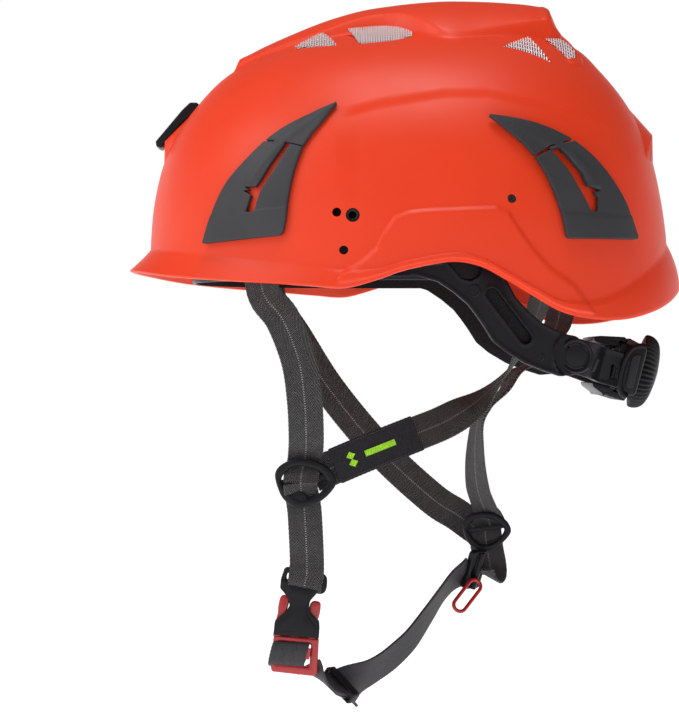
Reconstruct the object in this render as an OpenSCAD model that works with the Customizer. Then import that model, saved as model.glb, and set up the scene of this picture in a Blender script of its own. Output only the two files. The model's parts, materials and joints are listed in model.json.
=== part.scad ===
// Arborist helmet: moulded shell, webbing suspension, dial-adjusted nape unit and four-point chin harness.
// Frame: +Z up, -Y to the front (brow), +X to the wearer's left.  Origin: centre of the head, at brim height.

/* [Shell] */
// Wall thickness of the moulded shell
shell_t = 2.8; // [2.4:0.1:3.4]
// Columns of facets on each side of the shell
shell_cols = 32; // [24:1:36]
// Rows of facets from brim to apex
shell_rows = 20; // [16:1:22]
// Height of the moulded ear panel above the side wall
ear_raise = 1.8; // [1:0.1:2.5]

/* [Accessory holes] */
// Radius of the large visor-pivot hole
pivot_hole_r = 3.5; // [3:0.1:4]
// Radius of the small screw holes
screw_hole_r = 2.3; // [2:0.1:2.6]

/* [Webbing] */
// Width of the chin-harness webbing
web_w = 18; // [16:1:20]
// Thickness of the webbing
web_t = 1.4; // [1.2:0.1:1.8]

/* [Nape unit] */
// Downward tilt of the nape unit behind its pivots, in degrees
nape_tilt = 15; // [10:1:18]
// Radius of the size dial
knob_r = 20; // [18:0.5:21]
// Number of grip ribs round the dial
knob_ribs = 44; // [30:2:50]
// Teeth on the pinion
pinion_teeth = 10; // [10:1:10]
// Gear module of pinion and racks
gear_m = 1; // [1:1:1]

/* [Hidden] */
$fn = 48;

// ---------- general functions ----------
function ends(P) = concat([2 * P[0] - P[1]], P, [2 * P[len(P) - 1] - P[len(P) - 2]]);
// Catmull-Rom curve through the inner points of P, u from 0 to len(P) - 3
function curve(P, u) = let (n = len(P) - 4, i = min(floor(u), n), f = u - i,
    a = P[i], b = P[i + 1], c = P[i + 2], d = P[i + 3])
    0.5 * (2 * b + f * (c - a) + f * f * (2 * a - 5 * b + 4 * c - d) + f * f * f * (3 * b - a - 3 * c + d));
function smooth(x) = let (t = min(max(x, 0), 1)) t * t * (3 - 2 * t);
function power(c, e) = sign(c) * pow(abs(c), e);
function mix(a, b, f) = a + (b - a) * f;
function unit(v) = v / norm(v);

// ---------- shell form ----------
oval = 2.25; // exponent of the oval plan form
plan_c = 2.3; // centre of the brim's plan, along Y
// Dome sections from below the brim to the apex: height, front reach, rear reach, half width
DOME_KNOTS = [[-30, -135.8, 141.4, 105.5], [13, -135.6, 140.2, 104.5], [42, -132.8, 136.5, 102],
    [68, -125, 130, 95.5], [90, -110.5, 119, 83.5], [108, -91.5, 105, 67], [121, -62, 91, 47],
    [129, -25, 66, 25], [132, 20, 20, 0]];
dome_top = len(DOME_KNOTS) - 1;
function apex_mirror(k) = [k[0], k[2], k[1], -k[3]];
DOME = concat([2 * DOME_KNOTS[0] - DOME_KNOTS[1]], DOME_KNOTS, [apex_mirror(DOME_KNOTS[dome_top - 1])]);
// Brim from brow to nape: azimuth, edge height, crease height, outward flare
RIM = ends([[0, 2.4, 13.4, 11], [17, 1, 12, 10], [34, -2, 9.8, 8], [50, -4.4, 6.5, 6], [62, -6, 4.2, 4.5],
    [71, -7.6, 2.4, 3.5], [78, -8.6, 0, 2.6], [84, -4.6, 0, 1.6], [88, -0.5, 3.2, 1.2], [92, 2.8, 6.2, 1.2],
    [97, 4.6, 8, 1.2], [102, 2, 5.6, 1.2], [107, -4.4, -0.6, 1.3], [113, -12.4, -8.4, 1.4],
    [120, -20.4, -15.4, 1.8], [129, -24, -15.6, 2.4], [139, -23.6, -9, 3.2], [150, -19.6, 0, 4.2],
    [160, -14.4, 8, 5], [170, -9, 14.6, 5.8], [180, -7, 17, 6]]);
rim_last = len(RIM) - 3;

// Curve position on the dome at height z, by halving
function dome_u(z, lo = 0, hi = dome_top, n = 16) = n == 0 ? (lo + hi) / 2 :
    let (m = (lo + hi) / 2) curve(DOME, m)[0] < z ? dome_u(z, m, hi, n - 1) : dome_u(z, lo, m, n - 1);
function dome_point(a, u, flare, inset) = let (k = curve(DOME, u), yc = (k[1] + k[2]) / 2,
    l = (k[2] - k[1]) / 2,
    shrink_x = 1 - inset / 104.5, shrink_y = 1 - inset / 138)
    [(k[3] * shrink_x + flare) * power(sin(a), 2 / oval),
     yc + (l * shrink_y + flare) * power(-cos(a), 2 / oval),
     k[0] - inset * smooth(k[0] / 130)];

// Crown ridge: section profile along Y and half width along Y
RIDGE_TOP = [[-200, 0], [-91, 108.5], [-88, 115.4], [-74, 122.6], [-60.8, 128.5], [-43.5, 135.7],
    [-22.5, 141.9],
    [2.5, 145.2], [21.8, 146.6], [45.6, 146.2], [60, 145.2], [74, 144], [77, 142.4], [81.5, 133.3],
    [87.5, 128.5],
    [94, 120.5], [200, 0]];
RIDGE_HALF = [[-200, 17], [-91, 18], [-75, 20], [-44, 21.5], [-30, 24], [-10, 28], [0, 35], [12, 46],
    [30, 44],
    [42, 38.5], [58, 33.5], [72, 28], [82, 23], [200, 20]];
ridge_r = 45; // cross radius of the ridge
function ridge_z(x, y) = lookup(y, RIDGE_TOP) - ridge_r + sqrt(max(0, ridge_r * ridge_r - x * x));
function ridge_lift(p, inset) = smooth((lookup(p[1], RIDGE_HALF) - 1.8 * inset - abs(p[0])) / 3.5 + 0.5)
    * max(0, ridge_z(p[0], p[1]) - inset - p[2]);

// Raised ear panel: height of its top edge along Y, and the panel's outline fade
EAR_TOP = [[-40, -20], [-33, -2], [-24, 3], [-16, 10], [-12, 18], [-7, 25.5], [0, 29], [10, 30], [44, 31.5],
    [50, 28.5], [56, 19], [63, 9.5], [72, 0], [84, -8], [100, -30]];
function ear_lift(p) = p[2] > 60 ? 0 : ear_raise * smooth((lookup(p[1], EAR_TOP) - p[2]) / 3 + 0.5);

// Point of the shell surface: side +1 or -1, column u along the brim, row 0 (edge) .. 1 (apex)
flare_rows = 4;
function shell_point(side, u, row, inset) = let (r = curve(RIM, u), a = r[0],
    low = row <= flare_rows,
    g = min(row / flare_rows, 1),
    z = mix(r[1], r[2], g),
    uc = dome_u(z),
    us = low ? uc : mix(uc, dome_top, (row - flare_rows) / (shell_rows - flare_rows)),
    flare = low ? r[3] * pow(1 - g, 1.2) : 0,
    p = dome_point(a, us, flare, inset),
    e = ear_lift(p) * smooth((row + 0.01) / 2),
    lift = p[2] > 60 ? ridge_lift(p, inset) : 0)
    [side * (p[0] + e), p[1], p[2] + lift];

function ring(row, inset) = concat([for (j = [0:shell_cols]) shell_point(1, j * rim_last / shell_cols,
    row, inset)],
    [for (j = [shell_cols - 1:-1:1]) shell_point(-1, j * rim_last / shell_cols, row, inset)]);

module shell_solid() {
    n = 2 * shell_cols;
    rows = [for (i = [0:shell_rows - 1]) ring(i, 0)];
    inner = [for (i = [0:shell_rows - 1]) ring(i, shell_t)];
    apex = shell_point(1, 0, shell_rows, 0);
    apex_in = shell_point(1, 0, shell_rows, shell_t);
    points = concat([for (r = rows) each r], [for (r = inner) each r], [apex, apex_in]);
    m = n * shell_rows;
    quads = [for (i = [0:shell_rows - 2], j = [0:n - 1]) let (a = i * n + j, b = i * n + (j + 1) % n,
        c = a + n, d = b + n)
        each [[a, c, b], [b, c, d], [m + a, m + b, m + c], [m + b, m + d, m + c]]];
    top = (shell_rows - 1) * n;
    caps = [for (j = [0:n - 1]) let (a = top + j, b = top + (j + 1) % n)
        each [[a, 2 * m, b], [m + a, m + b, 2 * m + 1]]];
    edge = [for (j = [0:n - 1]) let (b = (j + 1) % n) each [[j, b, m + j], [b, m + b, m + j]]];
    polyhedron(points, concat(quads, caps, edge), convexity = 6);
}

// Crown vents in plan, on the left side
VENTS = [[[34, -57], [45, -36.5], [21.5, -44]], [[25, -32], [28, -11], [44, 1], [47.5, -11], [48, -23.5]],
    [[50, 49], [37, 64.5], [50.5, 76]], [[26.5, 75], [18, 82.5], [27, 89], [39.5, 87.5]]];
module vent_cut(points) linear_extrude(60) polygon(points);

// Accessory holes on each side: Y, Z, radius, and whether they are square to the skin or along X
HOLES = [[-28, 27, pivot_hole_r, false], [-36, 28.5, screw_hole_r, true],
    [-32.5, 9.5, screw_hole_r, true], [52, 35.5, screw_hole_r, true]];

module shell() color([0.93, 0.25, 0.12]) difference() {
    shell_solid();
    for (side = [0, 1]) mirror([side, 0, 0]) {
        for (v = VENTS) translate([0, 0, 95]) vent_cut(v);
        for (h = HOLES) translate(on_dome(h[0], h[1])) rotate(h[3] ? skin_turn(h[0], h[1]) : [0, 90, 0])
            translate([0, 0, -15]) cylinder(r = h[2], h = 30);
    }
}

// ---------- solids that follow a surface or a route ----------
// Closed solid between two grids of points, rows x cols cells, seen from outside with rows running down
module sheet_solid(outer, inner, rows, cols) {
    w = cols + 1;
    m = w * (rows + 1);
    rim = concat([for (j = [0:cols]) j], [for (i = [1:rows]) i * w + cols],
        [for (j = [cols - 1:-1:0]) rows * w + j], [for (i = [rows - 1:-1:1]) i * w]);
    n = len(rim);
    cells = [for (i = [0:rows - 1], j = [0:cols - 1]) let (a = i * w + j, c = a + w)
        each [[a, a + 1, c + 1], [a, c + 1, c], [m + a, m + c + 1, m + a + 1], [m + a, m + c, m + c + 1]]];
    edges = [for (k = [0:n - 1]) let (a = rim[k], b = rim[(k + 1) % n]) each [[b, a, m + a],
        [b, m + a, m + b]]];
    polyhedron(concat(outer, inner), concat(cells, edges), convexity = 4);
}

// Flat webbing swept along a route of [centre, width direction] entries
module strap(route, width, thick, steps = 3) {
    last = len(route) - 1;
    P = ends([for (r = route) r[0]]);
    W = ends([for (r = route) r[1]]);
    m = last * steps;
    rings = [for (i = [0:m]) let (u = i / steps, t = unit(curve(P, min(u + 0.02, last)) - curve(P,
        max(u - 0.02, 0))),
        v = curve(W, u), w = unit(v - (v * t) * t) * width / 2, n = cross(t, unit(w)) * thick / 2,
            p = curve(P, u))
        [p + w + n, p - w + n, p - w - n, p + w - n]];
    sides = [for (i = [0:m - 1], j = [0:3]) let (a = 4 * i + j, b = 4 * i + (j + 1) % 4)
        each [[a, a + 4, b + 4], [a, b + 4, b]]];
    e = 4 * m;
    polyhedron([for (r = rings) each r],
        concat(sides, [[0, 1, 2], [0, 2, 3], [e + 2, e + 1, e], [e + 3, e + 2, e]]), convexity = 4);
}

// Upright wall that follows a plan curve, from off to off + t outside it
module wall(P, u0, u1, low, high, t, off, n = 30) {
    E = ends(P);
    side = function (d) [for (i = [0:n]) let (u = mix(u0, u1, i / n), a = max(u - 0.02, 0),
        b = min(u + 0.02, len(P) - 1),
        g = unit(curve(E, b) - curve(E, a))) curve(E, u) + d * [g[1], -g[0]]];
    inner = side(off);
    outer = side(off + t);
    translate([0, 0, low]) linear_extrude(high - low) polygon(concat(inner, [for (i = [n:-1:0]) outer[i]]));
}

// Outline in Y and Z, extruded along X
module side_prism(x0, x1, points) translate([x0, 0, 0]) rotate([90, 0,
    90]) linear_extrude(x1 - x0) polygon(points);
module disc_x(x0, x1, y, z, r) translate([x0, y, z]) rotate([0, 90, 0]) cylinder(r = r, h = x1 - x0);

// ---------- skin of the dome ----------
function dome_x(y, z) = let (k = curve(DOME, dome_u(z)),
    q = abs((y - (k[1] + k[2]) / 2) / ((k[2] - k[1]) / 2)))
    k[3] * pow(max(0, 1 - pow(q, oval)), 1 / oval);
function on_dome(y, z) = [dome_x(y, z), y, z];
function skin(y, z, off) = on_dome(y, z)
    + off * unit(cross(on_dome(y + 1, z) - on_dome(y - 1, z), on_dome(y, z + 1) - on_dome(y, z - 1)));
function skin_turn(y, z) = let (n = skin(y, z, 1) - on_dome(y, z)) [0, acos(n[2]), atan2(n[1], n[0])];
function inside(x, y, u) = let (k = curve(DOME, u))
    pow(abs(x / k[3]), oval) + pow(abs((y - (k[1] + k[2]) / 2) / ((k[2] - k[1]) / 2)), oval) < 1;
function dome_z(x, y, lo = 0, hi = dome_top - 0.001, n = 14) = n == 0 ? curve(DOME, lo)[0] :
    let (m = (lo + hi) / 2) inside(x, y, m) ? dome_z(x, y, m, hi, n - 1) : dome_z(x, y, lo, m, n - 1);

// ---------- vent meshes ----------
mesh_t = 0.8; // thickness of the mesh panels
mesh_gap = 0.6; // clearance under the shell
front_slack = 1.15; // drop of the panels per unit of depth, larger on the steeper rear
rear_slack = 1.6;
// Plan outlines of the mesh panels, a little larger than the vents
MESH_FRONT = [[33, -61], [49.5, -39], [53, -24], [52, -9], [46, 6], [24, -8], [20.5, -33], [16, -44]];
MESH_REAR = [[50, 44], [54, 79], [42, 92], [27, 94], [12, 83], [22, 71], [33, 64]];
module mesh_panel(outline, slack) {
    n = len(outline);
    mid = [for (k = [0, 1]) let (s = [for (p = outline) p[k]]) (min(s) + max(s)) / 2];
    depth = shell_t + mesh_gap;
    all = concat(outline, [mid]);
    top = [for (p = all) [p[0], p[1], dome_z(p[0], p[1]) - slack * depth]];
    low = [for (p = top) p - [0, 0, mesh_t]];
    faces = [for (i = [0:n - 1]) let (j = (i + 1) % n, m = n + 1)
        each [[n, j, i], [m + n, m + i, m + j], [i, j, m + j], [i, m + j, m + i]]];
    color([0.72, 0.73, 0.74]) polyhedron(concat(top, low), faces, convexity = 3);
}

// ---------- headlamp clips ----------
clip_t = 2.5; // thickness of the clip plates
clip_gap = 0.45; // clearance over the shell
// Edges seen from the side, tip downwards: Y, Z.  The tip part ends at the hinge line, then the flap
FRONT_TIP = [[[-37.5, 84], [-50, 78.2], [-61, 72.2], [-71.4, 64.9]], [[-35.6, 81.5], [-43, 74.6],
    [-48.5, 67.8], [-52.5, 61.2]]];
FRONT_FLAP = [[[-71.8, 64.4], [-81, 55.5], [-90.3, 44.9], [-95.8, 34.9], [-99.6, 25], [-103, 13.5]],
    [[-52.8, 60.6], [-56.5, 50.5], [-58.7, 41.2], [-60.2, 32], [-61, 24], [-62.5, 17]]];
FRONT_SLOT = [[-60.5, 64], [-68.2, 53.4], [-73.3, 45.1], [-75.5, 41], [-81, 40], [-77.6, 37.6], [-80.5, 29],
    [-76.8, 29], [-73.7, 38.7], [-68.2, 47.8], [-62.8, 56.5], [-58.2, 62.5]];
REAR_TIP = [[[42.3, 76.4], [50, 69.8], [57.6, 63], [63, 56.9]], [[43.5, 78.2], [58, 75.4], [71, 71.2],
    [83, 65.6]]];
REAR_FLAP = [[[63.4, 56.2], [67.7, 49.8], [71.2, 43], [74, 36], [76.8, 27.5], [79.3, 15.5]],
    [[83.8, 65], [91.3, 59.4], [98.8, 51.9], [105.5, 43], [111.5, 32.5], [117.2, 16]]];
REAR_SLOT = [[70, 62.5], [73.5, 60.8], [79.9, 55.7], [87.3, 48.6], [90, 41.8], [93.2, 41.3],
    [95.3, 37.2], [93.6, 29.7],
    [91.7, 30], [88, 38.5], [81.6, 49.3], [75.2, 55.4]];
module clip_plate(edges, rows, cols) {
    last = len(edges[0]) - 1;
    L = ends(edges[0]);
    R = ends(edges[1]);
    grid = function (off) [for (i = [0:rows], j = [0:cols]) let (u = i * last / rows,
        p = mix(curve(L, u), curve(R, u), j / cols)) skin(p[0], p[1], off)];
    sheet_solid(grid(clip_gap + clip_t), grid(clip_gap), rows, cols);
}
module clip_tip(edges) color([0.2, 0.2, 0.21]) clip_plate(edges, 6, 4);
module clip_flap(edges, slot) color([0.2, 0.2, 0.21]) difference() {
    clip_plate(edges, 8, 6);
    side_prism(60, 110, slot);
}

// Hook plate at the brow, over which a headlamp's cable or goggle strap is held
hook_w = 24; // width of the hook plate
module front_lamp_hook() color([0.1, 0.1, 0.11]) side_prism(-hook_w / 2, hook_w / 2,
    [[-108, 89], [-111, 91.5], [-114.5, 91.4], [-132.4, 70.4], [-131.5, 67.6], [-128.8, 68.2],
    [-119, 80.2], [-114.6, 84]]);

// Flanged bush in the large side hole
bush_bore = 1.9; // radius of the bush's own bore
bush_flange = 2; // width of its flange, inside the shell
bush_y = HOLES[0][0]; // its place in the large side hole
bush_z = HOLES[0][1];
module accessory_bush() color([0.12, 0.12, 0.13]) difference() {
    union() {
        disc_x(96.5, 103, bush_y, bush_z, pivot_hole_r);
        disc_x(95, 98, bush_y, bush_z, pivot_hole_r + bush_flange);
    }
    disc_x(90, 110, bush_y, bush_z, bush_bore);
}

// ---------- headband and suspension ----------
band_t = 1.6; // thickness of the headband
// Plan curve of the head from the brow round the left side to the nape pivots
HEAD = [[-30, -108], [0, -112], [30, -108], [56, -93], [74, -66], [82, -32], [83.5, 0], [81, 30],
    [75, 56], [67, 76], [60.5, 90]];
HALF = [for (i = [1:len(HEAD) - 1]) HEAD[i]];
module mirrored() {
    children();
    mirror([1, 0, 0]) children();
}
slot_y = -32.5; // middle of the headband's side slots, behind the lower screw holes
slot_z = 9.5; // their height
slot_len = 12; // length of their straight part
module headband() color([0.09, 0.09, 0.1]) mirrored() difference() {
    wall(HALF, 0, 6.3, -5, 22, band_t, 0);
    slot_x(70, 100, [slot_y - slot_len / 2, slot_z], [slot_y + slot_len / 2, slot_z], 4);
}
module brow_pad() color([0.14, 0.14, 0.15]) mirrored() wall(HALF, 0, 3, -4, 24, 4.6, -5);

// Crown straps: rise from one side to the other as half ovals at a given Y
crown_high = 101; // height of the straps over the head
// Each strap: Y at the crown, half width, lean of its ends along Y, height of its ends
CROWN = [[-38, 86.5, -14, 14], [8, 91, 0, 14], [62, 80, 4, 28]];
function crown_route(c) = [for (a = [0:15:180]) let (s = sin(a))
    [[c[1] * cos(a), c[0] + c[2] * (1 - s), mix(c[3], crown_high, s)], [0, 1, 0]]];
module crown_strap(c) color([0.13, 0.13, 0.14]) strap(crown_route(c), web_w, web_t, 1);
key_w = 20; // width of the keys that hold the crown straps in the shell
key_t = 5; // thickness of the keys
key_h = 9.5; // height of the keys
key_drop = 12; // bottom of the keys below the straps' ends
module suspension_keys() color([0.1, 0.1, 0.11]) mirrored() for (c = CROWN)
    translate([c[1] - key_t / 2, c[0] + c[2] - key_w / 2, c[3] - key_drop]) cube([key_t, key_w, key_h]);

// ---------- nape arms ----------
pivot_y = 86.8; // nape pivot, along Y
pivot_z = -43.5; // nape pivot height
pin_r = 4; // pivot pin radius
pin_gap = 0.05; // its running clearance
arm_t = 2.2; // arm thickness
arm_off = 1.8; // arm's distance outside the head curve
ARM = [[-12, 13], [-12, -3.5], [5.3, -3.2], [15, -6.1], [22.9, -11.5], [29.7, -17.3], [33.5, -22.2],
    [37.4, -27.8], [42.3, -35.7],
    [49.1, -41.5], [58.8, -47.4], [68.4, -51.2], [80, -54], [92, -54], [92, -33], [79.1, -32.4],
    [73.3, -29.8], [66.4, -26],
    [59.8, -20.2], [53.9, -13.5], [50.1, -6.4], [48.1, -1.8], [44, 7], [36, 13]];
ARM_WINDOW = [[17, 5], [38, 5], [34.4, -4.2], [29.8, -4.2]];
module slot_x(x0, x1, a, b, r) {
    d = b - a;
    translate([x0, a[0], a[1]]) rotate([atan2(d[1], d[0]), 0, 0]) translate([0, 0, -r]) cube([x1 - x0,
        norm(d), 2 * r]);
    for (p = [a, b]) disc_x(x0, x1, p[0], p[1], r);
}
disc_r = 9; // radius of the round pivot joints
module nape_arm() color([0.1, 0.1, 0.11]) difference() {
    union() {
        difference() {
            intersection() {
                wall(HALF, 4, 9, -60, 20, arm_t, arm_off);
                side_prism(40, 100, ARM);
            }
            side_prism(40, 100, ARM_WINDOW);
            slot_x(40, 100, [41.8, -12], [58.8, -34.3], 3);
            disc_x(40, 63, pivot_y, pivot_z, disc_r + 1.8);
            disc_x(66, 100, pivot_y, pivot_z, disc_r + 0.6);
        }
        disc_x(63, 66, pivot_y, pivot_z, disc_r);
    }
    disc_x(60, 70, pivot_y, pivot_z, pin_r + pin_gap);
}
RIVETS = [[86.5, 33.3, -10.5], [76.5, 67.4, -44]];
module arm_rivets() color([0.16, 0.16, 0.17]) mirrored() for (r = RIVETS) disc_x(r[0], r[0] + 1.2, r[1],
    r[2], 2.8);

// ---------- nape unit, in a frame at the pivots with Y along the bands ----------
module nape_frame() translate([0, pivot_y, pivot_z]) rotate([-nape_tilt, 0, 0]) children();
band_low = -10; // lower edge of the size bands
band_high = 8; // upper edge
pocket_x = 46; // centre of the bands where they enter the housing
BAND = [[61.6, -9], [61.6, 0], [60.5, 6], [55, 11], [48.5, 14.5], [pocket_x, 20], [pocket_x, 26],
    [pocket_x, 32]];
knob_y = 41.8; // middle of the dial along the unit
axis_z = 2.4; // height of the dial's axis
module size_band() color([0.11, 0.11, 0.12]) nape_frame() {
    intersection() {
        wall(BAND, 0, 7, band_low, band_high, 2, -1);
        union() {
            side_prism(40, 70, [[0, -disc_r], [12, band_low], [40, band_low], [40, band_high],
                [8, band_high], [0, disc_r]]);
            disc_x(40, 70, 0, 0, disc_r);
        }
    }
    disc_x(61, 66.8, 0, 0, pin_r);
}
module pivot_buttons() color([0.13, 0.13, 0.14]) mirrored() nape_frame() difference() {
    disc_x(66.4, 68.2, 0, 0, disc_r - 0.8);
    disc_x(66, 66.8, 0, 0, pin_r);
    for (s = [-1, 1]) translate([67.4, 0, 0]) rotate([0, 90, 0])
        rotate_extrude(angle = 60, start = 90 + s * 90 - 30) translate([5, 0]) square([1.2, 2]);
}

house_w = 50; // half width of the housing
house_front = 26; // its front face, where the cover sits
house_back = 37.6; // its rear face, behind the dial
chan = 9.4; // half height of the rack channel
chan_w = 31; // half width of the rack channel
module rounded_prism(x, z0, z1, y0, y1, r) translate([0, y1, 0]) rotate([90, 0, 0]) linear_extrude(y1 - y0)
    hull() for (sx = [-1, 1], z = [z0 + r, z1 - r]) translate([sx * (x - r), z]) circle(r = r);
// Slots that the bands run in, wider by a given amount on their outer side
module pocket(extra = 0) mirrored() translate([pocket_x - 1.4, 0, band_low - 0.4])
    cube([2.8 + extra, 60, band_high - band_low + 0.8]);
module nape_housing() color([0.09, 0.09, 0.1]) nape_frame() difference() {
    rounded_prism(house_w, -12, 13.9, house_front, house_back, 4);
    translate([-chan_w, house_front - 1, axis_z - chan]) cube([2 * chan_w, 8, 2 * chan]);
    pocket();
    translate([0, house_front, axis_z]) rotate([-90, 0, 0]) cylinder(r = 3.05, h = 20);
}
module nape_cover() color([0.12, 0.12, 0.13]) nape_frame() difference() {
    union() {
        rounded_prism(house_w, -12, 13.9, house_front - 3, house_front, 4);
        translate([-36, 9, 13.9]) cube([72, 18, 2.2]);
        translate([-36, 12, -14.2]) cube([72, 15, 2.2]);
    }
    pocket(1.6);
}
module nape_pad() color([0.3, 0.27, 0.25]) nape_frame() translate([-34, 16.4, -11.4]) cube([68, 6.3, 24.8]);

// Ten-tooth involute pinion and its two racks, 25 degree pressure angle with a little backlash
pitch_r = gear_m * pinion_teeth / 2;
pressure = 25;
backlash = 0.24;
base_r = pitch_r * cos(pressure);
tip_r = pitch_r + 0.8 * gear_m;
root_r = pitch_r - 1.1 * gear_m;
function involute(a) = tan(a) * 180 / PI - a;
function half_angle(r) = 90 / pinion_teeth - backlash / (4 * pitch_r) * 180 / PI + involute(pressure)
    - involute(acos(min(1, base_r / r)));
flank = [root_r, base_r, 4.75, pitch_r, 5.4, tip_r];
function tooth(a) = concat([for (r = flank) r * [sin(a - half_angle(r)), cos(a - half_angle(r))]],
    [for (i = [len(flank) - 1:-1:0]) flank[i] * [sin(a + half_angle(flank[i])),
    cos(a + half_angle(flank[i]))]]);
gear_y = 27.5; // front of the gears
gear_w = 5; // their width
module on_dial_axis() nape_frame() translate([0, 0, axis_z]) rotate([-90, 0, 0]) children();
module pinion() color([0.75, 0.75, 0.72]) on_dial_axis() {
    translate([0, 0, gear_y]) linear_extrude(gear_w)
        polygon([for (i = [0:pinion_teeth - 1]) each tooth(i * 360 / pinion_teeth)]);
    translate([0, 0, gear_y + gear_w]) cylinder(r = 3, h = 11);
}
rack_ends = [-15, 19]; // ends of the left rack along X
rack_back = 9.1; // back of the rack from the dial axis
function rack_tooth(x) = let (h = 0.8 * gear_m, r = 1.1 * gear_m, s = tan(pressure),
    w = PI * gear_m / 4 - backlash / 4)
    [[x - w - r * s, pitch_r + r], [x - w + h * s, pitch_r - h], [x + w - h * s, pitch_r - h],
    [x + w + r * s, pitch_r + r]];
module rack() {
    points = concat([[rack_ends[0], rack_back], [rack_ends[0], pitch_r + 1.1 * gear_m]],
        [for (i = [-4:5]) each rack_tooth((i - 0.5) * PI * gear_m)],
        [[rack_ends[1], pitch_r + 1.1 * gear_m], [rack_ends[1], rack_back]]);
    color([0.75, 0.75, 0.72]) translate([0, gear_y + gear_w, 0]) rotate([90, 0,
        0]) linear_extrude(gear_w) polygon(points);
}
module rack_pair(turn) nape_frame() translate([0, 0, axis_z]) rotate([0, turn, 0]) rack();
knob_t = 7; // thickness of the dial's grip
module knob() color([0.1, 0.1, 0.11]) on_dial_axis() difference() {
    translate([0, 0, knob_y - knob_t / 2]) {
        linear_extrude(knob_t) difference() {
            circle(r = knob_r, $fn = 96);
            for (i = [0:knob_ribs - 1]) rotate(i * 360 / knob_ribs) translate([knob_r + 0.25,
                0]) circle(r = 0.8, $fn = 8);
        }
        translate([0, 0, knob_t]) cylinder(r1 = knob_r - 1.5, r2 = knob_r - 5, h = 1.4, $fn = 96);
    }
    cylinder(r = 3, h = gear_y + gear_w + 11);
}
module knob_screw() color([0.5, 0.5, 0.52]) on_dial_axis() translate([0, 0,
    knob_y + knob_t / 2 + 1.4]) difference() {
    cylinder(r = 4.5, h = 1.2);
    for (a = [0, 90]) rotate(a) translate([-2.6, -0.5, 0.5]) cube([5.2, 1, 1]);
}

// ---------- chin harness ----------
web = [0.14, 0.14, 0.15];
FRONT_ANCHOR = [[[84.5, -75, 17], [0.42, 1, 0]], [[84.6, -74.6, 4], [0.4, 1, 0]], [[84.2, -74.3, -5],
    [0.35, 1, 0.1]]];
REAR_ANCHOR_LEFT = [[[74.4, 80.8, 12], [-0.6, 1, 0]], [[71, 78, 4], [-0.6, 1, 0]], [[64, 70, -8],
    [-0.6, 1, 0.3]]];
REAR_ANCHOR_RIGHT = [[[-76, 94, 16], [0.7, 1, 0]], [[-69, 92, 4], [0.7, 1, 0]], [[-61, 90, -8],
    [0.7, 1, 0]]];
module anchor(route) color([0.12, 0.12, 0.13]) strap(route, web_w + 2, 2.6, 3);

FRONT_LEFT = [[[83.8, -73.6, -10.4], [0.35, 1, 0.1]], [[84, -71.4, -14.5], [0.3, 1, 0.25]],
    [[84, -63.2, -25.3], [0.1, 0.85, 0.5]], [[81.5, -55.4, -45.6], [0, 1, 0.3]],
    [[78, -52.4, -65.9], [0, 1, 0.1]], [[73.5, -51.3, -81], [0, 1, 0]], [[70, -52, -95], [0, 1, -0.05]]];
REAR_LEFT = [[[62, 69.1, -10.6], [-0.5, 1, 0.35]], [[48, 64, -26], [-0.5, 1, 0.2]], [[26, 56, -44.6],
    [-0.3, 1, 0]],
    [[9, 48.5, -57], [0, 0.8, -0.6]], [[9, 38, -68], [0.1, 0.5, -0.9]], [[30, 22, -77.5], [0.2, 0.4, -1]],
    [[48, 5, -84], [0.1, 0.36, -1]], [[57, -15, -91.5], [0, 0.38, -1]], [[64, -35.5, -99.5], [0, 0.4, -1]]];
FRONT_RIGHT = [[[-83.8, -73.6, -10.4], [-0.35, 1, 0.1]], [[-83.6, -71.4, -14.5], [-0.3, 1, 0.25]],
    [[-81, -60, -31], [0, 0.8, 0.5]], [[-73, -39.9, -62.5], [0, 0.8, 0.6]],
    [[-64, -11.8, -96.2], [0, 0.75, 0.65]], [[-55, 16.2, -122], [0, 0.7, 0.7]], [[-50.5, 31.5, -132.3],
    [0, 0.6, 0.8]]];
REAR_RIGHT = [[[-60.5, 89.8, -9.5], [0.6, 1, 0]], [[-54, 86, -28], [0.8, 1, 0]], [[-30, 72, -46],
    [1, 0.4, 0.3]],
    [[-8, 63, -53.5], [0.5, 0.3, -1]], [[3, 53, -61], [0.4, 0.7, -0.7]],
    [[0, 44.5, -78.5], [0, 1, 0]], [[-18, 42.3, -100.4], [0.2, 1, 0]],
    [[-37, 45, -118], [0.2, 1, 0]], [[-46, 46.5, -128], [0, 1, 0]]];
LOWER_LEFT = [[[67.5, -52.6, -122.6], [0, 1, 0]], [[64, -51.8, -137], [0, 1, 0]],
    [[60.5, -51.3, -154.7], [0, 1, -0.1]]];
LOWER_RIGHT = [[[-49, 47.2, -155.2], [0.1, 1, 0.2]], [[-45, 47.6, -157.4], [0.1, 1, 0.2]],
    [[-41.4, 47.8, -158.6], [0.1, 1, 0.3]]];
CHIN = [[[56.5, -50, -205.5], [0.2, 1, -0.4]], [[52, -42, -211], [0.3, 0.8, 1]], [[42, -33.5, -214.4],
    [0.1, 0, 1]],
    [[28, -23.5, -213], [0, -0.2, 1]], [[15, -14, -209], [0, -0.3, 1]], [[2, -4.3, -203.2], [0, -0.4, 1]],
    [[-8, 4.5, -195.6], [0, -0.5, 1]], [[-18, 13.5, -184.1], [0, -0.6, 0.9]], [[-25, 21.5, -173],
    [0, -0.7, 0.8]],
    [[-29.5, 28.5, -165.5], [0, -0.6, 0.8]]];
module webbing(route) color(web) strap(route, web_w, web_t, 3);

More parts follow.
